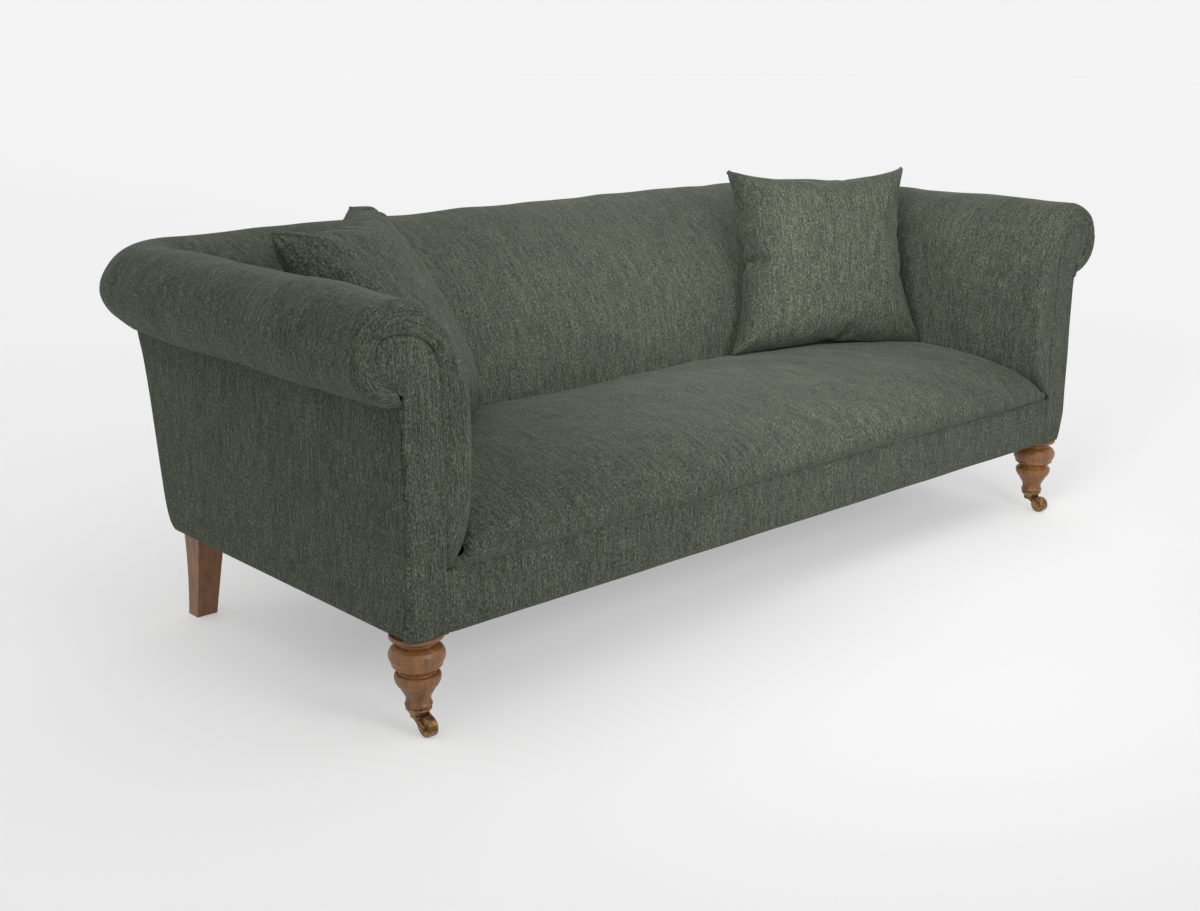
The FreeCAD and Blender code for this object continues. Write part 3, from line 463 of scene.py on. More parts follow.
# front seam of the arm cloth round the facing, matched to the arm's outline
PAIR = [((893, 331), (944, 313)), ((890, 372), (942.6, 372)), ((880.5, 450), (943, 450)), ((879.6, 520), (943.6, 520)),
        ((881, 600), (944.5, 600)), ((886, 655), (946, 650)), ((898, 706), (950, 682)), ((916, 742), (958, 706)),
        ((941, 769), (971, 723)), ((970, 788), (990, 735)), ((1000, 797.5), (1012, 742)),
        ((1030, 800), (1034, 744.5))]
ROLLPAIR = [(20, (1044, 744)), (40, (1054, 742)), (60, (1064.5, 736.5)), (78, (1071.5, 727)), (95, (1075.2, 714)),
            (110, (1073.2, 700)), (130, (1067, 683)), (150, (1052, 664)), (168, (1036, 647.5)), (180, (1027, 628)),
            (196, (1018, 617))]
arm_line = dense(ARM)
arm_len = lengths(arm_line)
key = []
for (p, q) in PAIR:
    i = np.argmin(np.hypot(arm_line[:, 0] - p[0], arm_line[:, 1] - p[1]))
    key.append((arm_len[i], q))
base_len = arm_len[-1]
for ang, q in ROLLPAIR:
    key.append((base_len + RR * math.radians(ang), q))
sec_arm = np.stack([sec_a, sec_z], 1)
s_len = lengths(sec_arm)
kl = np.array([k[0] for k in key]) * (s_len[-1] / key[-1][0])
kd = dense([k[1] for k in key], 16)
kt = np.interp(np.arange(len(kd)) / 16.0, np.arange(len(key)), kl)
seam_in = np.stack([np.interp(s_len, kt, kd[:, 0]), np.interp(s_len, kt, kd[:, 1])], 1)

lower = np.exp(-(sec_z - 331) / 22.0) * (np.arange(NS) < NI)
front_dx, front_dz = 50 * lower, -16 * lower

cols, kinds, us = [], [], []
NLIP, NROUND = 30, 13


def arm_point(y, share):
    """Arm section at depth y, with the front's lower edge drawn in by share."""
    return np.stack([-(sec_a + front_dx * share), np.full(NS, y), sec_z + front_dz * share], 1)


O2 = np.stack([sec_a + front_dx, sec_z + front_dz], 1)
D2 = seam_in - O2
L2 = np.linalg.norm(D2, axis=1)
U2 = D2 / np.maximum(L2, 1e-6)[:, None]
rollw = smooth01((ANG - 15) / 60)
crestw = smooth01((sec_z - 640) / 130) * (1 - 0.55 * rollw)
rho = np.minimum(22 + 30 * crestw + 4 * rollw, L2 * (0.45 + 0.38 * np.maximum(crestw, rollw)))
YF = 12.0 + 22.0 * crestw + 4.0 * rollw                  # where the padded lip starts to turn over
ymin = -6.8 + 2.0 * rollw
deep = 1.2 + 1.2 * bump(s_len, base_len + 20, 70)        # the seam sinks deepest under the arch
for k in range(NLIP - 1, 0, -1):
    if k <= NROUND:
        al = math.radians(90.0 * k / NROUND)
        d = rho * (1 - math.cos(al))
        y = YF - (YF - ymin) * math.sin(al)
    else:
        f = (k - NROUND) / (NLIP - 1 - NROUND)
        d = rho + (L2 - rho) * f
        y = ymin + (-ymin + deep - 2.0) * (0.45 * f**2 + 0.55 * f**6)
    P = np.stack([-(O2[:, 0] + U2[:, 0] * d), y, O2[:, 1] + U2[:, 1] * d], 1)
    cols.append(P)
    kinds.append(("lip", k))
NARM, NCOR, NBK = 74, 18, 74
for i in range(NARM):
    f = i / (NARM - 1)
    f = f * 0.55 + 0.45 * f**1.8
    yend = sec_b - sec_r
    y = YF + (yend - YF) * f
    share = 1 - smooth01((y - YF) / 70.0)
    P = np.stack([-(sec_a + front_dx * share), y, sec_z + front_dz * share], 1)
    cols.append(P)
    kinds.append(("arm", f))
for i in range(1, NCOR):
    al = math.pi / 2 * i / NCOR
    cx, cy = -(sec_a - sec_r), sec_b - sec_r
    P = np.stack([cx - sec_r * math.cos(al), cy + sec_r * math.sin(al), sec_z], 1)
    cols.append(P)
    kinds.append(("corner", al))
xs = -(sec_a - sec_r)
for i in range(NBK):
    f = 1 - i / (NBK - 1)
    P = np.stack([xs * f, sec_b, sec_z], 1)
    cols.append(P)
    kinds.append(("back", f))
half = np.stack(cols, 1)                                   # rows along the section, columns along the plan
mirror = half[:, -2::-1] * np.array([-1, 1, 1])
shell = np.concatenate([half, mirror], 1)
NL = half.shape[1]
names = [k[0] for k in kinds] + [k[0] for k in kinds[-2::-1]]
side = np.r_[-np.ones(NL), np.ones(NL - 1)]

# cloth coordinates: u along the plan, v along the section from the crest
col_kind = np.array(names)
U = np.zeros(shell.shape[:2])
lip_cols = [j for j in range(NL) if names[j] == "lip"]
for j in range(shell.shape[1]):
    s, kd_ = side[j], names[j]
    x, y = shell[:, j, 0], shell[:, j, 1]
    if kd_ == "back":
        U[:, j] = x
    elif kd_ == "arm":
        U[:, j] = s * (1080.0 + (860.0 - y))
    elif kd_ == "corner":
        ang = np.arctan2(np.abs(x) - 0 - np.abs(sec_a - sec_r), y - (sec_b - sec_r) + 1e-9)
        U[:, j] = s * (930 + 150 * np.clip(ang / (math.pi / 2), 0, 1))
lip_len = np.zeros((NS, len(lip_cols) + 1))
P_ = half[:, lip_cols[-1] + 1]
run = np.zeros(NS)
for j in lip_cols[::-1]:
    run = run + np.linalg.norm(half[:, j] - P_, axis=1)
    P_ = half[:, j]
    U[:, j] = -(1080.0 + (860.0 - YF)) - run
    U[:, shell.shape[1] - 1 - j] = -U[:, j]
Vv = np.zeros(shell.shape[:2])
d = np.linalg.norm(np.diff(shell, axis=0), axis=2)
Vv[1:] = np.cumsum(d, 0)
Vv -= Vv[NI - 1:NI]
shell_uv = np.stack([U * 0.001, Vv * 0.001], -1)

# soft irregularities of the stuffed cloth, then pleats at the roll ends and small gathers round the facing
n0 = grid_normals(shell)
out = n0 * np.where((n0 * (shell - np.array([0, 700, 560]))).sum(-1, keepdims=True) > 9e9, -1, 1)
test = shell[NI - 1, NL - 1], n0[NI - 1, NL - 1]
SIGN = 1.0 if test[1][2] > 0 else -1.0
n0 = n0 * SIGN
soft = 1.5 * ripples(3, shell, 330) + 0.6 * ripples(4, shell, 120)
calm = np.ones(shell.shape[:2])
calm[-10:] *= np.linspace(1, 0, 10)[:, None]
disp = soft * calm
for j in lip_cols:
    for jj, seed in ((j, 11), (shell.shape[1] - 1 - j, 12)):
        k = kinds[j][1]
        f = max(0.0, (k - NROUND) / (NLIP - 1 - NROUND))
        near = smooth01((k + 4) / 14.0)
        disp[:, jj] *= 1 - 0.75 * near
        hold = 1 - smooth01((f - 0.72) / 0.28)
        # gathers: short puckers beside the seam that fade over the lip
        puck = ripples(seed, np.stack([s_len, np.zeros(NS)], 1), 27, 12)
        disp[:, jj] += puck * (0.12 + 0.35 * f) * hold * near * (0.4 + 0.6 * rollw) * smooth01((s_len - 60) / 120)
        for at, dep, wd in ((57, 3.4, 1.5), (88, 1.9, 1.6), (121, 0.9, 2.2), (150, 1.0, 2.2)):
            crease = bump(ANG + (1.0 if seed == 12 else 0.0) - 5.0 * f * math.copysign(1, at - 100), at, wd)
            fold = bump(ANG, at + 4.5, 3.4)
            g = near * (0.45 + 0.55 * f**0.5) * (0.25 + 0.75 * hold)
            disp[:, jj] += (-dep * crease + 0.45 * dep * fold) * g * (ANG > 20)
for i, f in enumerate(np.linspace(0, 1, NARM)):
    # the pleats run back over the rim of the roll and fade
    for j, s in ((len(lip_cols) + i, 1), (shell.shape[1] - 1 - len(lip_cols) - i, -1)):
        y = shell[:, j, 1]
        fade = np.exp(-np.maximum(y - YF, 0) / 16.0)
        for at, dep, wd in ((57, 1.5, 1.7), (88, 0.9, 1.8)):
            disp[:, j] += (-dep * bump(ANG, at, wd) + 0.4 * dep * bump(ANG, at + 4.5, 3.4)) * fade * (ANG > 20)
# a fan of slack at the rear corners of the roll, and the tuck where arm and back meet
for j in range(shell.shape[1]):
    if names[j] == "corner":
        al = kinds[j][1] if j < NL else kinds[shell.shape[1] - 1 - j][1]
        mid = math.sin(2 * al)
        inner = (np.arange(NS) < NI) * smooth01((w_ := np.r_[w, np.zeros(NO)]) / 7.0)
        disp[:, j] += -5.0 * mid * inner
        rollside = (np.arange(NS) >= NI) * np.sin(np.clip(np.radians(ANG), 0, math.pi))
        disp[:, j] += mid * rollside * (6.0 * bump(ANG, 92, 27) - 3.0 * bump(ANG, 22, 20))
        disp[:, j] += -6.0 * mid * smooth01((ANG - 118) / 30)
        disp[:, j] += 0.5 * mid * np.sin(al * 9 + 1.3 * side[j]) * rollside
# a soft fold that runs down the back cloth near the left corner
line = np.interp(shell[..., 2], [690, 736, 780, 800], [-808, -786, -751, -742])
for at, dep, wd in ((0.0, -4.2, 8.0), (17.0, 2.2, 12.0)):
    disp += dep * bump(shell[..., 0] - line, at, wd) * bump(shell[..., 2], 757, 34) * (col_kind == "back") * (ANG == 0)[:, None]
shell = shell + n0 * disp[..., None]
# the filling sits a little lower towards the right
along = np.abs(shell[..., 0])
arm_drop = np.where(shell[..., 0] < 0, np.interp(shell[..., 1], [0, 950], [0.0, 1.5]),
                    np.interp(shell[..., 1], [0, 950], [4.0, 9.0]))
back_drop = np.interp(shell[..., 0], [-1000, 0, 1000], [1.5, 6.0, 9.0])
part_w = smooth01((along - 830) / 110)
shell[..., 2] -= (arm_drop * part_w + back_drop * (1 - part_w)) * np.clip((shell[..., 2] - 500) / 300, 0, 1)
n1 = grid_normals(shell) * SIGN

NCA = len(lip_cols) + NARM + NCOR - 1                       # columns of an arm piece
last = shell.shape[1] - 1
pieces = {}
for nm, lo, hi in (("arm_upholstery_left", 0, NCA + 1), ("back_upholstery", NCA, last - NCA + 1),
                   ("arm_upholstery_right", last - NCA, last + 1)):
    ob = skin(nm, shell[:, lo:hi], shell_uv[:, lo:hi], thick=3.0, flip=SIGN < 0, normals=n1[:, lo:hi])
    pieces[nm] = ob
for sd in ("left", "right"):
    finish_piece(pieces["arm_upholstery_" + sd], "root",
                 ["arm_pad_" + sd, "arm_cover_" + sd, "corner_roll_pad_" + sd, "corner_roll_cover_" + sd])
finish_piece(pieces["back_upholstery"], "root", ["back_pad", "back_cover"])

# ---------------------------------------------------------------- facings
LEFT_E = [(941.8, 193.4), (941.8, 311), (942.6, 372), (943, 450), (943.6, 520), (944.5, 600), (946, 650), (950, 682),
          (958, 706), (971, 723), (990, 735), (1012, 742), (1034, 744.5), (1054, 742), (1065.5, 735.5)]
RIGHT_E = [(1025, 193.4), (1025, 311), (1025, 372), (1025, 450), (1025, 520), (1025.5, 597), (1030.5, 628),
           (1039, 646), (1048, 657.5), (1056, 668.5), (1064.5, 678.5), (1070.5, 690), (1074.2, 703), (1074.5, 719),
           (1066.5, 734)]
NF, NA = 150, 40
t_ = np.linspace(0, 1, NF)
le = resample(dense(LEFT_E), NF, np.interp(t_, np.linspace(0, 1, len(LEFT_E)),
                                         lengths(np.array(LEFT_E, float)) / lengths(np.array(LEFT_E, float))[-1]))
re_ = resample(dense(RIGHT_E), NF, np.interp(t_, np.linspace(0, 1, len(RIGHT_E)),
                                           lengths(np.array(RIGHT_E, float)) / lengths(np.array(RIGHT_E, float))[-1]))
fa = np.linspace(0, 1, NA)
fa = 0.5 - 0.5 * np.cos(np.pi * fa)
for s, sd in ((-1, "left"), (1, "right")):
    F = np.zeros((NF, NA, 3))
    for i in range(NF):
        a, b = le[i], re_[i]
        wdt = max(np.hypot(*(b - a)), 1e-6)
        d = fa * wdt
        wrap = smooth01((640 - b[1]) / 30.0)               # below the roll the strip turns the arm's corner
        r = 9 + 16 * smooth01((275 - b[1]) / 80.0)         # the corner softens towards the leg
        r = min(r, wdt * 0.48)
        edge = np.minimum(d, (wdt - d) if wrap < 0.5 else 1e9)
        arch = smooth01((le[i][1] - 690) / 30.0)
        y = -3.0 + (1.9 + 1.2 * arch) * np.exp(-(d / 3.2) ** 2)
        y = y + (1 - wrap) * 2.4 * np.exp(-((wdt - d) / 3.6) ** 2) + 0.5 * (1 - wrap)
        k = np.clip((d - (wdt - r)) / r, 0, 1) * wrap       # turning the corner
        al = k * math.pi / 2
        f = (wdt - r + r * np.sin(al)) / wdt
        pos = np.where(k > 0, f, d / wdt)
        y = y + np.where(k > 0, r * (1 - np.cos(al)), 0)
        F[i, :, 0] = s * (a[0] + (b[0] - a[0]) * pos)
        F[i, :, 1] = y
        F[i, :, 2] = a[1] + (b[1] - a[1]) * pos
    F[:, :, 1] += 0.5 * ripples(21 + s, F, 140) * np.minimum(1, np.minimum(fa, 1 - fa) * 8)[None, :]
    F[0, :, 1] += 3.0
    F[1, :, 1] += 0.8
    fl = s < 0
    uv = np.stack([F[..., 0] * 0.001, F[..., 2] * 0.001], -1) + np.array([0.37, 0.11])
    nn = grid_normals(F)
    if nn[NF // 3, NA // 3, 1] > 0:
        nn, fl = -nn, True
    else:
        fl = False
    ob = skin("facing_panel_" + sd, F, uv, thick=1.6, flip=fl, normals=nn)
    finish_piece(ob, "root", ["arm_facing_" + sd])

# ---------------------------------------------------------------- outside panels
REAR = [(867, 193.4), (876, 201), (885.5, 211), (898.5, 243), (909.5, 307), (918, 371), (927.5, 435), (939, 499),
        (953.5, 561), (966, 601), (969, 620), (969, 636)]
rear = dense(REAR)


def rear_y(z):
    return np.interp(z, rear[:, 1], rear[:, 0])


zz = np.r_[193.4, 194.2, 196.5, 201, np.linspace(210, 636, 62)]
turn = np.interp(zz, [193.4, 194.2, 196.5, 201, 210], [5.0, 2.6, 1.0, 0.2, 0.0])     # the hem turned under the rails
for s, sd in ((-1, "left"), (1, "right")):
    G = np.zeros((len(zz), 96, 3))
    for i, z in enumerate(zz):
        r0 = 9 + 16 * smooth01((275 - z) / 80.0)
        y1 = float(rear_y(z))
        r1 = 12.0
        f = np.linspace(0, 1, 84)
        y = r0 + 0.5 + (y1 - r1 - r0 - 0.5) * f
        x = np.full(84, 1025.0) + 2.2 * np.sin(math.pi * f) ** 0.7 * math.sin(math.pi * (z - 193) / 445.0) ** 0.7
        x[0] -= 1.6
        x[1] -= 0.4
        al = np.linspace(0, math.pi / 2, 13)[1:]
        xc = 1025 - r1 + r1 * np.cos(al)
        yc = y1 - r1 + r1 * np.sin(al)
        xc[-1] -= 0.5
        yc[-1] -= 1.6
        G[i, :84, 0], G[i, :84, 1] = x, y
        G[i, 84:, 0], G[i, 84:, 1] = xc, yc
        G[i, :, 0] -= turn[i]
        G[i, :, 2] = z
    G[..., 0] += 0.8 * ripples(31 + s, G, 420) * np.clip((G[..., 2] - 200) / 100, 0, 1) * np.clip((620 - G[..., 2]) / 60, 0, 1)
    G[..., 0] *= s
    uv = np.stack([uv_of(G)[..., 0] + 0.9 * s, G[..., 2] * 0.001 + 0.27], -1)
    nn = grid_normals(G)
    fl = nn[30, 40, 0] * s < 0
    ob = skin("outside_arm_panel_" + sd, G, uv, thick=1.6, flip=fl, normals=-nn if fl else nn)
    finish_piece(ob, "root", ["outside_arm_" + sd])

G = np.zeros((len(zz), 120, 3))
for i, z in enumerate(zz):
    y1 = float(rear_y(z))
    r1 = 12.0
    f = np.linspace(-1, 1, 120)
    xx = f * (1025 - r1 - 0.6)
    y = y1 + 2.6 * (1 - f**2) ** 0.6 * math.sin(math.pi * (z - 193) / 445.0) ** 0.7
    y[0] -= 1.6
    y[-1] -= 1.6
    G[i, :, 0], G[i, :, 1], G[i, :, 2] = xx, y - turn[i], z
G[..., 1] += 0.9 * ripples(41, G, 500) * np.clip((G[..., 2] - 200) / 100, 0, 1) * np.clip((620 - G[..., 2]) / 60, 0, 1)
uv = np.stack([-G[..., 0] * 0.001 + 2.6, G[..., 2] * 0.001 + 0.31], -1)
nn = grid_normals(G)
fl = nn[30, 60, 1] < 0
ob = skin("outside_back_panel", G, uv, thick=1.6, flip=fl, normals=-nn if fl else nn)
finish_piece(ob, "root", ["outside_back"])

# ---------------------------------------------------------------- front border
zb = np.r_[193.4, 194.2, 196.5, 201, np.linspace(208, 300, 16), 304, 307.5, 310, 312.5]
xb = np.r_[-942.4, -941.2, -938, np.linspace(-930, 930, 150), 938, 941.2, 942.4]
B = np.zeros((len(zb), len(xb), 3))
tb = np.interp(zb, [193.4, 194.2, 196.5, 201, 208], [6.0, 3.0, 1.2, 0.3, 0.0])
top = np.interp(zb, [300, 304, 307.5, 310, 312.5], [0.0, 0.1, 0.4, 1.1, 2.6])
ends = np.interp(np.abs(xb), [930, 938, 941.2, 942.4], [0, 0.3, 1.6, 3.4])
B[..., 0] = xb[None, :]
B[..., 2] = zb[:, None]
B[..., 1] = (-0.8 + tb + top)[:, None] + ends[None, :]
B[..., 1] -= 1.6 * np.sin(math.pi * np.clip((zb - 193) / 118, 0, 1))[:, None]
B[..., 1] += 0.6 * ripples(51, B, 260) * np.clip(1 - ends / 0.3, 0, 1)[None, :]
uv = np.stack([B[..., 0] * 0.001 + 5.3, B[..., 2] * 0.001 + 0.4], -1)
nn = grid_normals(B)
fl = nn[8, 60, 1] > 0
ob = skin("front_border_panel", B, uv, thick=1.6, flip=fl, normals=-nn if fl else nn)
finish_piece(ob, "root", ["front_border"])

# ---------------------------------------------------------------- tight seat
NP, NX = 110, 190
mid_l, end_l = resample(dense(SEAT_MID), NP), resample(dense(SEAT_END), NP)
# more points over the nose than on the flat
spread = np.interp(np.linspace(0, 1, NP), [0, 0.45, 1], [0, 0.27, 1])
mid_l, end_l = resample(mid_l, NP, spread), resample(end_l, NP, spread)
q = np.linspace(-1, 1, NX)
q = np.sign(q) * (1 - (1 - np.abs(q)) ** 1.25)
ST = np.zeros((NP, NX, 3))
low = np.exp(-(end_l[:, 1] - 313) / 20.0) * (np.arange(NP) < NP * 0.5)
arm_x = np.interp(end_l[:, 1], arm_line[:, 1], arm_line[:, 0])
front_part = 1 - smooth01((end_l[:, 0] - 10) / 60)
halfw = np.where(end_l[:, 1] < 331, 893, arm_x) + 50 * np.exp(-np.maximum(end_l[:, 1] - 314, 0) / 20.0) * front_part + 2.0
halfw = np.clip(halfw, 0, 945)
for j in range(NX):
    e = abs(q[j]) ** 2.6
    prof = mid_l * (1 - e) + end_l * e
    ST[:, j, 0] = q[j] * halfw
    ST[:, j, 1:] = prof
tn = grid_normals(ST)
if tn[NP // 2 + 20, NX // 2, 2] < 0:
    tn = -tn
edge = (1 - np.abs(q))[None, :] * halfw[:, None]            # mm from the arm
sink = 13 * np.exp(-(edge / 9.0) ** 2) + 5 * np.exp(-edge / 26.0)
rearin = 9 * np.exp(-((NP - 1 - np.arange(NP)) / 3.0) ** 2)[:, None]
seat_soft = 2.0 * ripples(61, ST, 420) + 0.7 * ripples(62, ST, 130)
calm = smooth01(np.minimum(edge, 120) / 120) * smooth01((np.arange(NP) - 3) / 14.0)[:, None]
# drag lines from the front corners and soft hollows along the arms
drag = np.zeros(ST.shape[:2])
for s in (-1, 1):
    cx, cy = s * 905.0, 0.0
    dx, dy = (ST[..., 0] - cx) * s * -1, ST[..., 1] - cy
    rr = np.hypot(dx, dy) + 1
    an = np.degrees(np.arctan2(dy, dx))
    drag += 1.6 * np.sin(an * 0.42 + s) * np.exp(-rr / 150.0) * smooth01(rr / 40.0)
ST = ST + tn * (seat_soft * calm + drag * calm - sink)[..., None]
seam = np.exp(-(np.arange(NP) / 2.2) ** 2)[:, None]
ST[..., 1] += 1.6 * seam
uv = np.stack([ST[..., 0] * 0.001 + 7.1, uv_of(ST)[..., 1] + 0.2], -1)
nn = grid_normals(ST)
fl = nn[NP // 2 + 20, NX // 2, 2] < 0
ob = skin("seat_upholstery", ST, uv, thick=3.0, flip=fl, normals=-nn if fl else nn)
finish_piece(ob, "root", ["seat_pad", "seat_cover"])

# ---------------------------------------------------------------- dust cloth under the base
lo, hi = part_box("dust_cover")
lo, hi = np.array(lo) * 1000, np.array(hi) * 1000
DX, DY = np.linspace(lo[0], hi[0], 150), np.linspace(lo[1] + YO, hi[1] + YO, 70)
Dg = np.zeros((len(DX), len(DY), 3))
Dg[..., 0], Dg[..., 1] = DX[:, None], DY[None, :]
ex = np.minimum(DX - lo[0], hi[0] - DX)[:, None]
ey = np.minimum(DY - DY[0], DY[-1] - DY)[None, :]
inside = np.minimum(ex, ey)
Dg[..., 2] = lo[2] + 0.1
Dg[..., 2] += 0.25 * ripples(71, Dg, 90) * smooth01(inside / 50)
tack = 0.5 * (np.sin(Dg[..., 0] / 40.0 * math.pi) ** 8 + np.sin(Dg[..., 1] / 40.0 * math.pi) ** 8)
Dg[..., 2] += 0.7 * tack * np.exp(-((inside - 9) / 5.0) ** 2) + 0.3
uv = np.stack([Dg[..., 0] * 0.001, Dg[..., 1] * 0.001], -1)
nn = grid_normals(Dg)
fl = nn[5, 5, 2] > 0
ob = skin("dust_cloth", Dg, uv, DUST, thick=0.6, flip=fl, normals=-nn if fl else nn)
finish_piece(ob, "root", ["dust_cover"])

# ---------------------------------------------------------------- scatter cushions
CUSHIONS = {
    "left": [(-821.0, 267.0, 425.0), (-486.0, 512.0, 421.0), (-604.0, 776.0, 853.0), (-948.0, 514.0, 850.0)],
    "right": [(374.0, 556.0, 420.0), (868.0, 352.0, 420.0), (868.0, 430.0, 864.0), (473.0, 681.0, 864.0)],
}
NC = 89
HALF = 250.0                # half the side of a flat panel, mm


def flat_panel(n, half, corner):
    """A square panel's grid with rounded corners: parameters from -1 to 1, ring number, and place."""
    u = np.linspace(-1, 1, n)
    A, B = np.meshgrid(u, u, indexing="ij")
    ring_no = np.maximum(np.abs(A), np.abs(B))
    a, b = A / np.maximum(ring_no, 1e-9), B / np.maximum(ring_no, 1e-9)
    least = np.minimum(np.abs(a), np.abs(b))
    turned = np.clip((least - (1 - corner)) / corner, 0, 1)
    phi = np.radians(45 * turned)
    far, near = 1 - corner + corner * np.cos(phi), np.where(turned > 0, 1 - corner + corner * np.sin(phi), least)
    first = np.abs(a) >= np.abs(b)
    a2, b2 = np.where(first, far, near) * np.sign(a), np.where(first, near, far) * np.sign(b)
    k = ring_no**5
    return A, B, ring_no, ring_no * ((1 - k) * a + k * a2) * half, ring_no * ((1 - k) * b + k * b2) * half


def sewn_pair(seed, dome):
    """Two flat panels joined at their rim, a little domed, as one closed mesh."""
    A, B, ring_no, X, Y = flat_panel(NC, HALF, 0.13)
    idx = np.arange(NC * NC).reshape(NC, NC)
    inner = ring_no < 1 - 1e-9
    back = idx.copy()
    back[inner] = NC * NC + np.arange(inner.sum())
    rise = dome * np.maximum(0, (1 - A**2) * (1 - B**2)) ** 0.45
    uneven = 1.3 * (1 - ring_no**8)
    Zf = np.where(inner, rise + uneven * ripples(seed, np.stack([X, Y], -1), 90), 0)
    Zb = -rise + uneven * ripples(seed + 50, np.stack([X, Y], -1), 90)
    P = np.vstack([np.stack([X, Y, Zf], -1).reshape(-1, 3), np.stack([X, Y, Zb], -1)[inner]])
    quads = lambda ix: np.stack([ix[:-1, :-1], ix[1:, :-1], ix[1:, 1:], ix[:-1, 1:]], -1).reshape(-1, 4)
    return P, np.vstack([quads(idx), quads(back)[:, ::-1]]), (A, B, ring_no, X, Y, inner, back)


def inflate(P, F, frames=20):
    """Blows up the sewn panels with the cloth solver and returns their points."""
    me = bpy.data.meshes.new("cloth_work")
    me.from_pydata((P * 0.001).tolist(), [], F.tolist())
    me.update()
    ob = bpy.data.objects.new("cloth_work", me)
    bpy.context.scene.collection.objects.link(ob)
    md = ob.modifiers.new("cloth", "CLOTH")
    c = md.settings
    c.quality, c.mass, c.air_damping = 5, 0.3, 2.0
    c.use_pressure, c.uniform_pressure_force = True, 5.0
    c.tension_stiffness = c.compression_stiffness = 15.0
    c.shear_stiffness, c.bending_stiffness = 6.0, 0.5
    c.effector_weights.gravity = 0.0
    md.collision_settings.use_collision = False
    md.point_cache.frame_start, md.point_cache.frame_end = 1, frames
    sc = bpy.context.scene
    sc.frame_start, sc.frame_end = 1, frames
    for f in range(1, frames + 1):
        sc.frame_set(f)
    ev = ob.evaluated_get(bpy.context.evaluated_depsgraph_get())
    Q = np.zeros(len(me.vertices) * 3, np.float32)
    ev.data.vertices.foreach_get("co", Q)
    Q = Q.reshape(-1, 3).astype(float) * 1000
    bpy.data.objects.remove(ob, do_unlink=True)
    bpy.data.meshes.remove(me)
    sc.frame_set(1)
    # no point moves further than a full filling would push it
    step = Q - P
    far = np.linalg.norm(step, axis=1, keepdims=True)
    return P + step * np.minimum(1, 95.0 / np.maximum(far, 1e-6))


def cushion(name, corners, front_t, back_t, pulls, seed, folds=(), notch=(0.0, 0.0)):
    """A knife-edge cushion: pulls are the hollows of its left, right, lower and upper sides."""
    BL, BR, TR, TL = [np.array(p, float) for p in corners]
    nrm = np.cross(BR - BL, TL - BL)
    nrm /= np.linalg.norm(nrm)
    P, F, (A, B, ring_no, X, Y, inner, back) = sewn_pair(seed, 38.0)
    Q = inflate(P, F)
    g = Q[:NC * NC].reshape(NC, NC, 3)
    ext = np.abs(g[[0, 0, -1, -1], [0, -1, 0, -1], :2]).mean()
    h = NC // 2
    now = (-g[0, h, 0] / ext, g[-1, h, 0] / ext, -g[h, 0, 1] / ext, g[h, -1, 1] / ext)
    a, b, t = Q[:, 0] / ext, Q[:, 1] / ext, Q[:, 2]
    more = [1 - (1 - p) / n_ for p, n_ in zip(pulls, now)]
    ka, kb = np.clip(1 - np.abs(b) ** 3.4, 0, 1), np.clip(1 - np.abs(a) ** 3.4, 0, 1)
    nip = notch[1] * bump(b, notch[0], 0.07) * (a < 0) * smooth01((-a - 0.5) / 0.4)
    a2 = a * (1 - np.where(a < 0, more[0], more[1]) * ka - nip)
    b2 = b * (1 - np.where(b < 0, more[2], more[3]) * kb)
    t = np.where(t > 0, t * front_t / t.max(), t * back_t / -t.min())
    rest = np.vstack([np.stack([A, B], -1).reshape(-1, 2), np.stack([A, B], -1)[inner]])
    ring_of = np.r_[ring_no.ravel(), ring_no[inner]]
    front = np.r_[np.ones(NC * NC), np.zeros(inner.sum())]
    # the stitched rim: a shallow groove just inside the knife edge
    t -= np.sign(t) * 1.5 * bump((1 - ring_of) * HALF, 5.7, 3.2)
    for line_, dep, wd in folds:
        L = dense(line_, 30)
        d_ = np.min(np.hypot(rest[:, None, 0] - L[None, :, 0], rest[:, None, 1] - L[None, :, 1]), axis=1) * HALF
        near_ = np.argmin(np.hypot(rest[:, None, 0] - L[None, :, 0], rest[:, None, 1] - L[None, :, 1]), axis=1)
        fade = np.sin(np.pi * np.clip(near_ / (len(L) - 1), 0.0, 1.0) * 0.85 + 0.15) ** 0.7
        t += front * fade * (-dep * np.exp(-(d_ / wd) ** 2) + 0.5 * dep * np.exp(-((d_ - 2.6 * wd) / (1.6 * wd)) ** 2))
    pa, pb = ((a2 + 1) / 2)[:, None], ((b2 + 1) / 2)[:, None]
    base = (1 - pa) * (1 - pb) * BL + pa * (1 - pb) * BR + pa * pb * TR + (1 - pa) * pb * TL
    V = base + nrm * t[:, None]
    uvs = np.vstack([np.stack([X, Y], -1).reshape(-1, 2), np.stack([X, Y], -1)[inner]]) * 0.001
    ob = make_object(name, to_row(V), F, CLOTH, uvs + np.array([seed * 0.37, 0.5]))
    sub = ob.modifiers.new("smooth", "SUBSURF")
    sub.levels = sub.render_levels = 1
    fine_me = bpy.data.meshes.new_from_object(ob.evaluated_get(bpy.context.evaluated_depsgraph_get()))
    ob.modifiers.clear()
    old = ob.data
    ob.data = fine_me
    bpy.data.meshes.remove(old)
    fine_me.name = name
    return ob


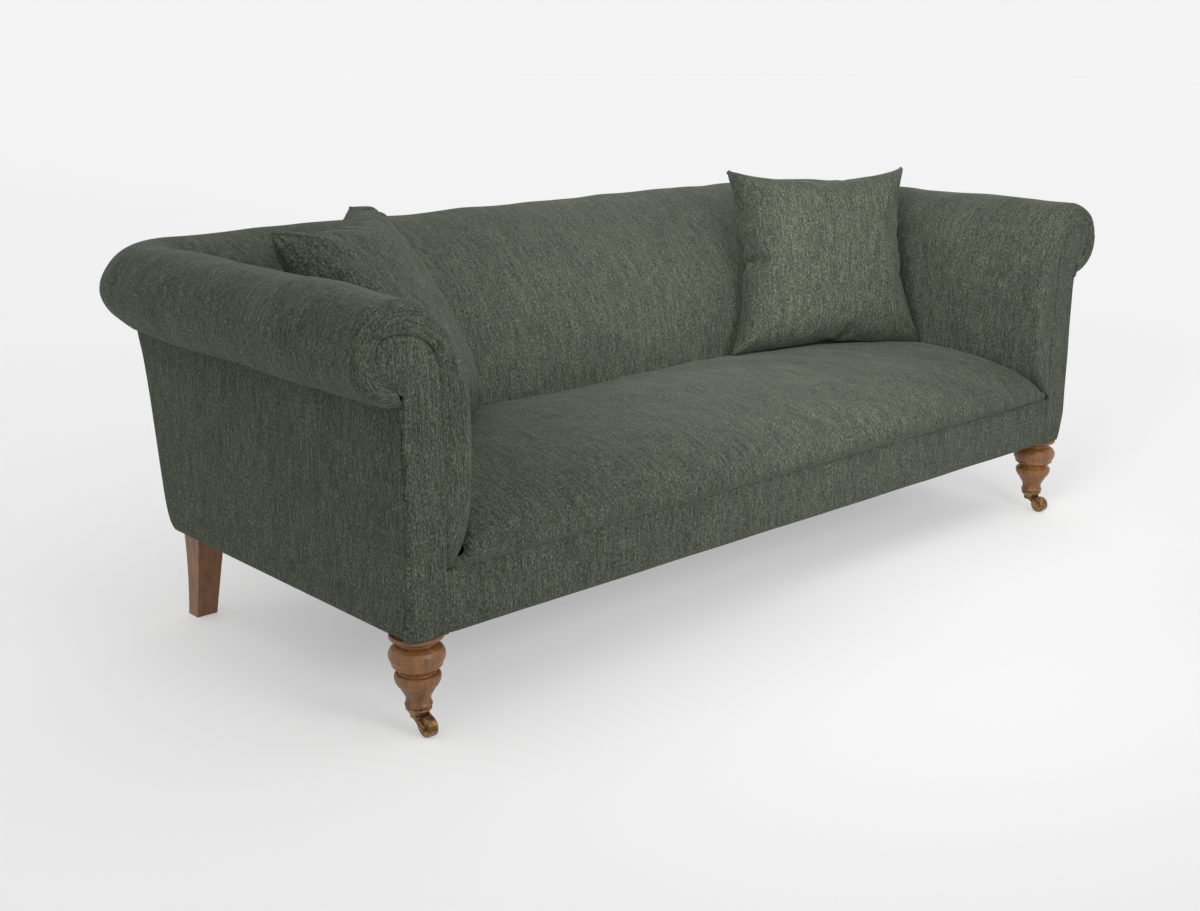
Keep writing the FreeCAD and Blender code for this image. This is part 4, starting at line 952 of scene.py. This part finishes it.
SHAPES = {
    "left": dict(front_t=122.0, back_t=74.0, pulls=(0.13, 0.12, 0.09, 0.165), seed=7,
                 folds=(([(0.70, 0.97), (0.72, 0.86), (0.78, 0.74), (0.85, 0.60)], 5.0, 7.0),
                        ([(-0.80, 0.93), (-0.70, 0.84), (-0.55, 0.76)], 3.0, 6.0))),
    "right": dict(front_t=104.0, back_t=84.0, pulls=(0.175, 0.180, 0.10, 0.155), seed=9, notch=(-0.04, 0.045),
                  folds=(([(-0.97, -0.03), (-0.90, -0.01), (-0.82, 0.0)], 4.0, 5.0),
                         ([(0.96, -0.20), (0.90, -0.16), (0.82, -0.14)], 2.5, 5.0),
                         ([(-0.10, 0.96), (-0.08, 0.90), (-0.06, 0.82)], 2.0, 5.0))),
}
for sd in ("left", "right"):
    ob = cushion("scatter_cushion_piece_" + sd, CUSHIONS[sd], **SHAPES[sd])
    finish_piece(ob, "scatter_cushion_" + sd, ["cushion_cover_" + sd, "cushion_pad_" + sd])

# ================================================================ stage, light, camera
floor_me = bpy.data.meshes.new("floor")
R_ = 30.0
ring = [(R_ * math.cos(a), R_ * math.sin(a), 0.0) for a in np.linspace(0, 2 * math.pi, 97)[:-1]]
floor_me.from_pydata([(0, 0, 0)] + ring, [], [(0, i + 1, (i + 1) % 96 + 1) for i in range(96)])
floor_ob = bpy.data.objects.new("floor", floor_me)
bpy.context.scene.collection.objects.link(floor_ob)
fm, ft, fb = tree("studio_floor")
fc = noise(ft, coords(ft), 0.35, 2.0, 0.5)
across = ft.nodes.new("ShaderNodeSeparateXYZ")
link(ft, coords(ft), across.inputs[0])
# painted light: the floor's colour and glow are darker to the left and lighter to the right, where more light falls
painted_floor_light = ramp(ft, remap(ft, across.outputs[0], -5.0, 6.0, 0.0, 1.0), [(0.0, (0.54, 0.54, 0.54)), (1.0, (0.575, 0.575, 0.575))])
link(ft, mix(ft, remap(ft, fc, 0.3, 0.7, 0.0, 0.02), painted_floor_light, (0.97, 0.97, 0.97)), fb.inputs["Base Color"])
# painted light: the floor glows with light of its own, a little stronger to the right, so shadows on it stay pale
link(ft, painted_floor_light, fb.inputs["Emission Color"])
fb.inputs["Emission Strength"].default_value = 0.63
fb.inputs["Roughness"].default_value = 0.8
fb.inputs["Specular IOR Level"].default_value = 0.1
floor_me.materials.append(fm)

world = bpy.data.worlds.new("studio")
bpy.context.scene.world = world
world.use_nodes = True
bg = world.node_tree.nodes["Background"]
bg.inputs[0].default_value = (1.0, 1.0, 1.0, 1)
bg.inputs[1].default_value = 0.90


def area(name, place, target, size, power, colour=(1, 1, 1)):
    d = bpy.data.lights.new(name, "AREA")
    d.shape = "RECTANGLE"
    d.size, d.size_y = size
    d.energy = power
    d.color = colour
    o = bpy.data.objects.new(name, d)
    bpy.context.scene.collection.objects.link(o)
    o.location = place
    o.rotation_mode = "QUATERNION"
    o.rotation_quaternion = (Vector(target) - Vector(place)).to_track_quat("-Z", "Y")
    return o


front = area("front", (-0.25, -2.7, 1.5), (0.0, 0.35, 0.62), (1.2, 0.7), 9)
front.data.spread = math.radians(75)
side_light = area("side", (-0.9, -0.95, 1.25), (0.95, 0.05, 0.66), (0.8, 0.5), 6)
side_light.data.spread = math.radians(70)

cam = bpy.data.cameras.new("camera")
cam.sensor_width = 36.0
cam.sensor_fit = "HORIZONTAL"
cam.lens = 1567.137 / 1200 * 36.0
cam.clip_start, cam.clip_end = 0.05, 100.0
co = bpy.data.objects.new("camera", cam)
bpy.context.scene.collection.objects.link(co)
yaw, pitch, roll = math.radians(42.168), math.radians(15.7399), math.radians(-0.11)
f_ = np.array([math.sin(yaw) * math.cos(pitch), math.cos(yaw) * math.cos(pitch), -math.sin(pitch)])
r_ = np.array([math.cos(yaw), -math.sin(yaw), 0.0])
u_ = np.cross(r_, f_)
r2, u2 = math.cos(roll) * r_ + math.sin(roll) * u_, -math.sin(roll) * r_ + math.cos(roll) * u_
M = np.eye(4)
M[:3, 0], M[:3, 1], M[:3, 2] = r2, u2, -f_
M[:3, 3] = (-1.21006429 * 2.05, -1.02269948 * 2.05 - YO * 0.001, 0.60982215 * 2.05)
co.matrix_world = Matrix([list(row) for row in M])
bpy.context.scene.camera = co
bpy.context.scene.view_settings.view_transform = "Standard"
bpy.context.scene.view_settings.look = "None"
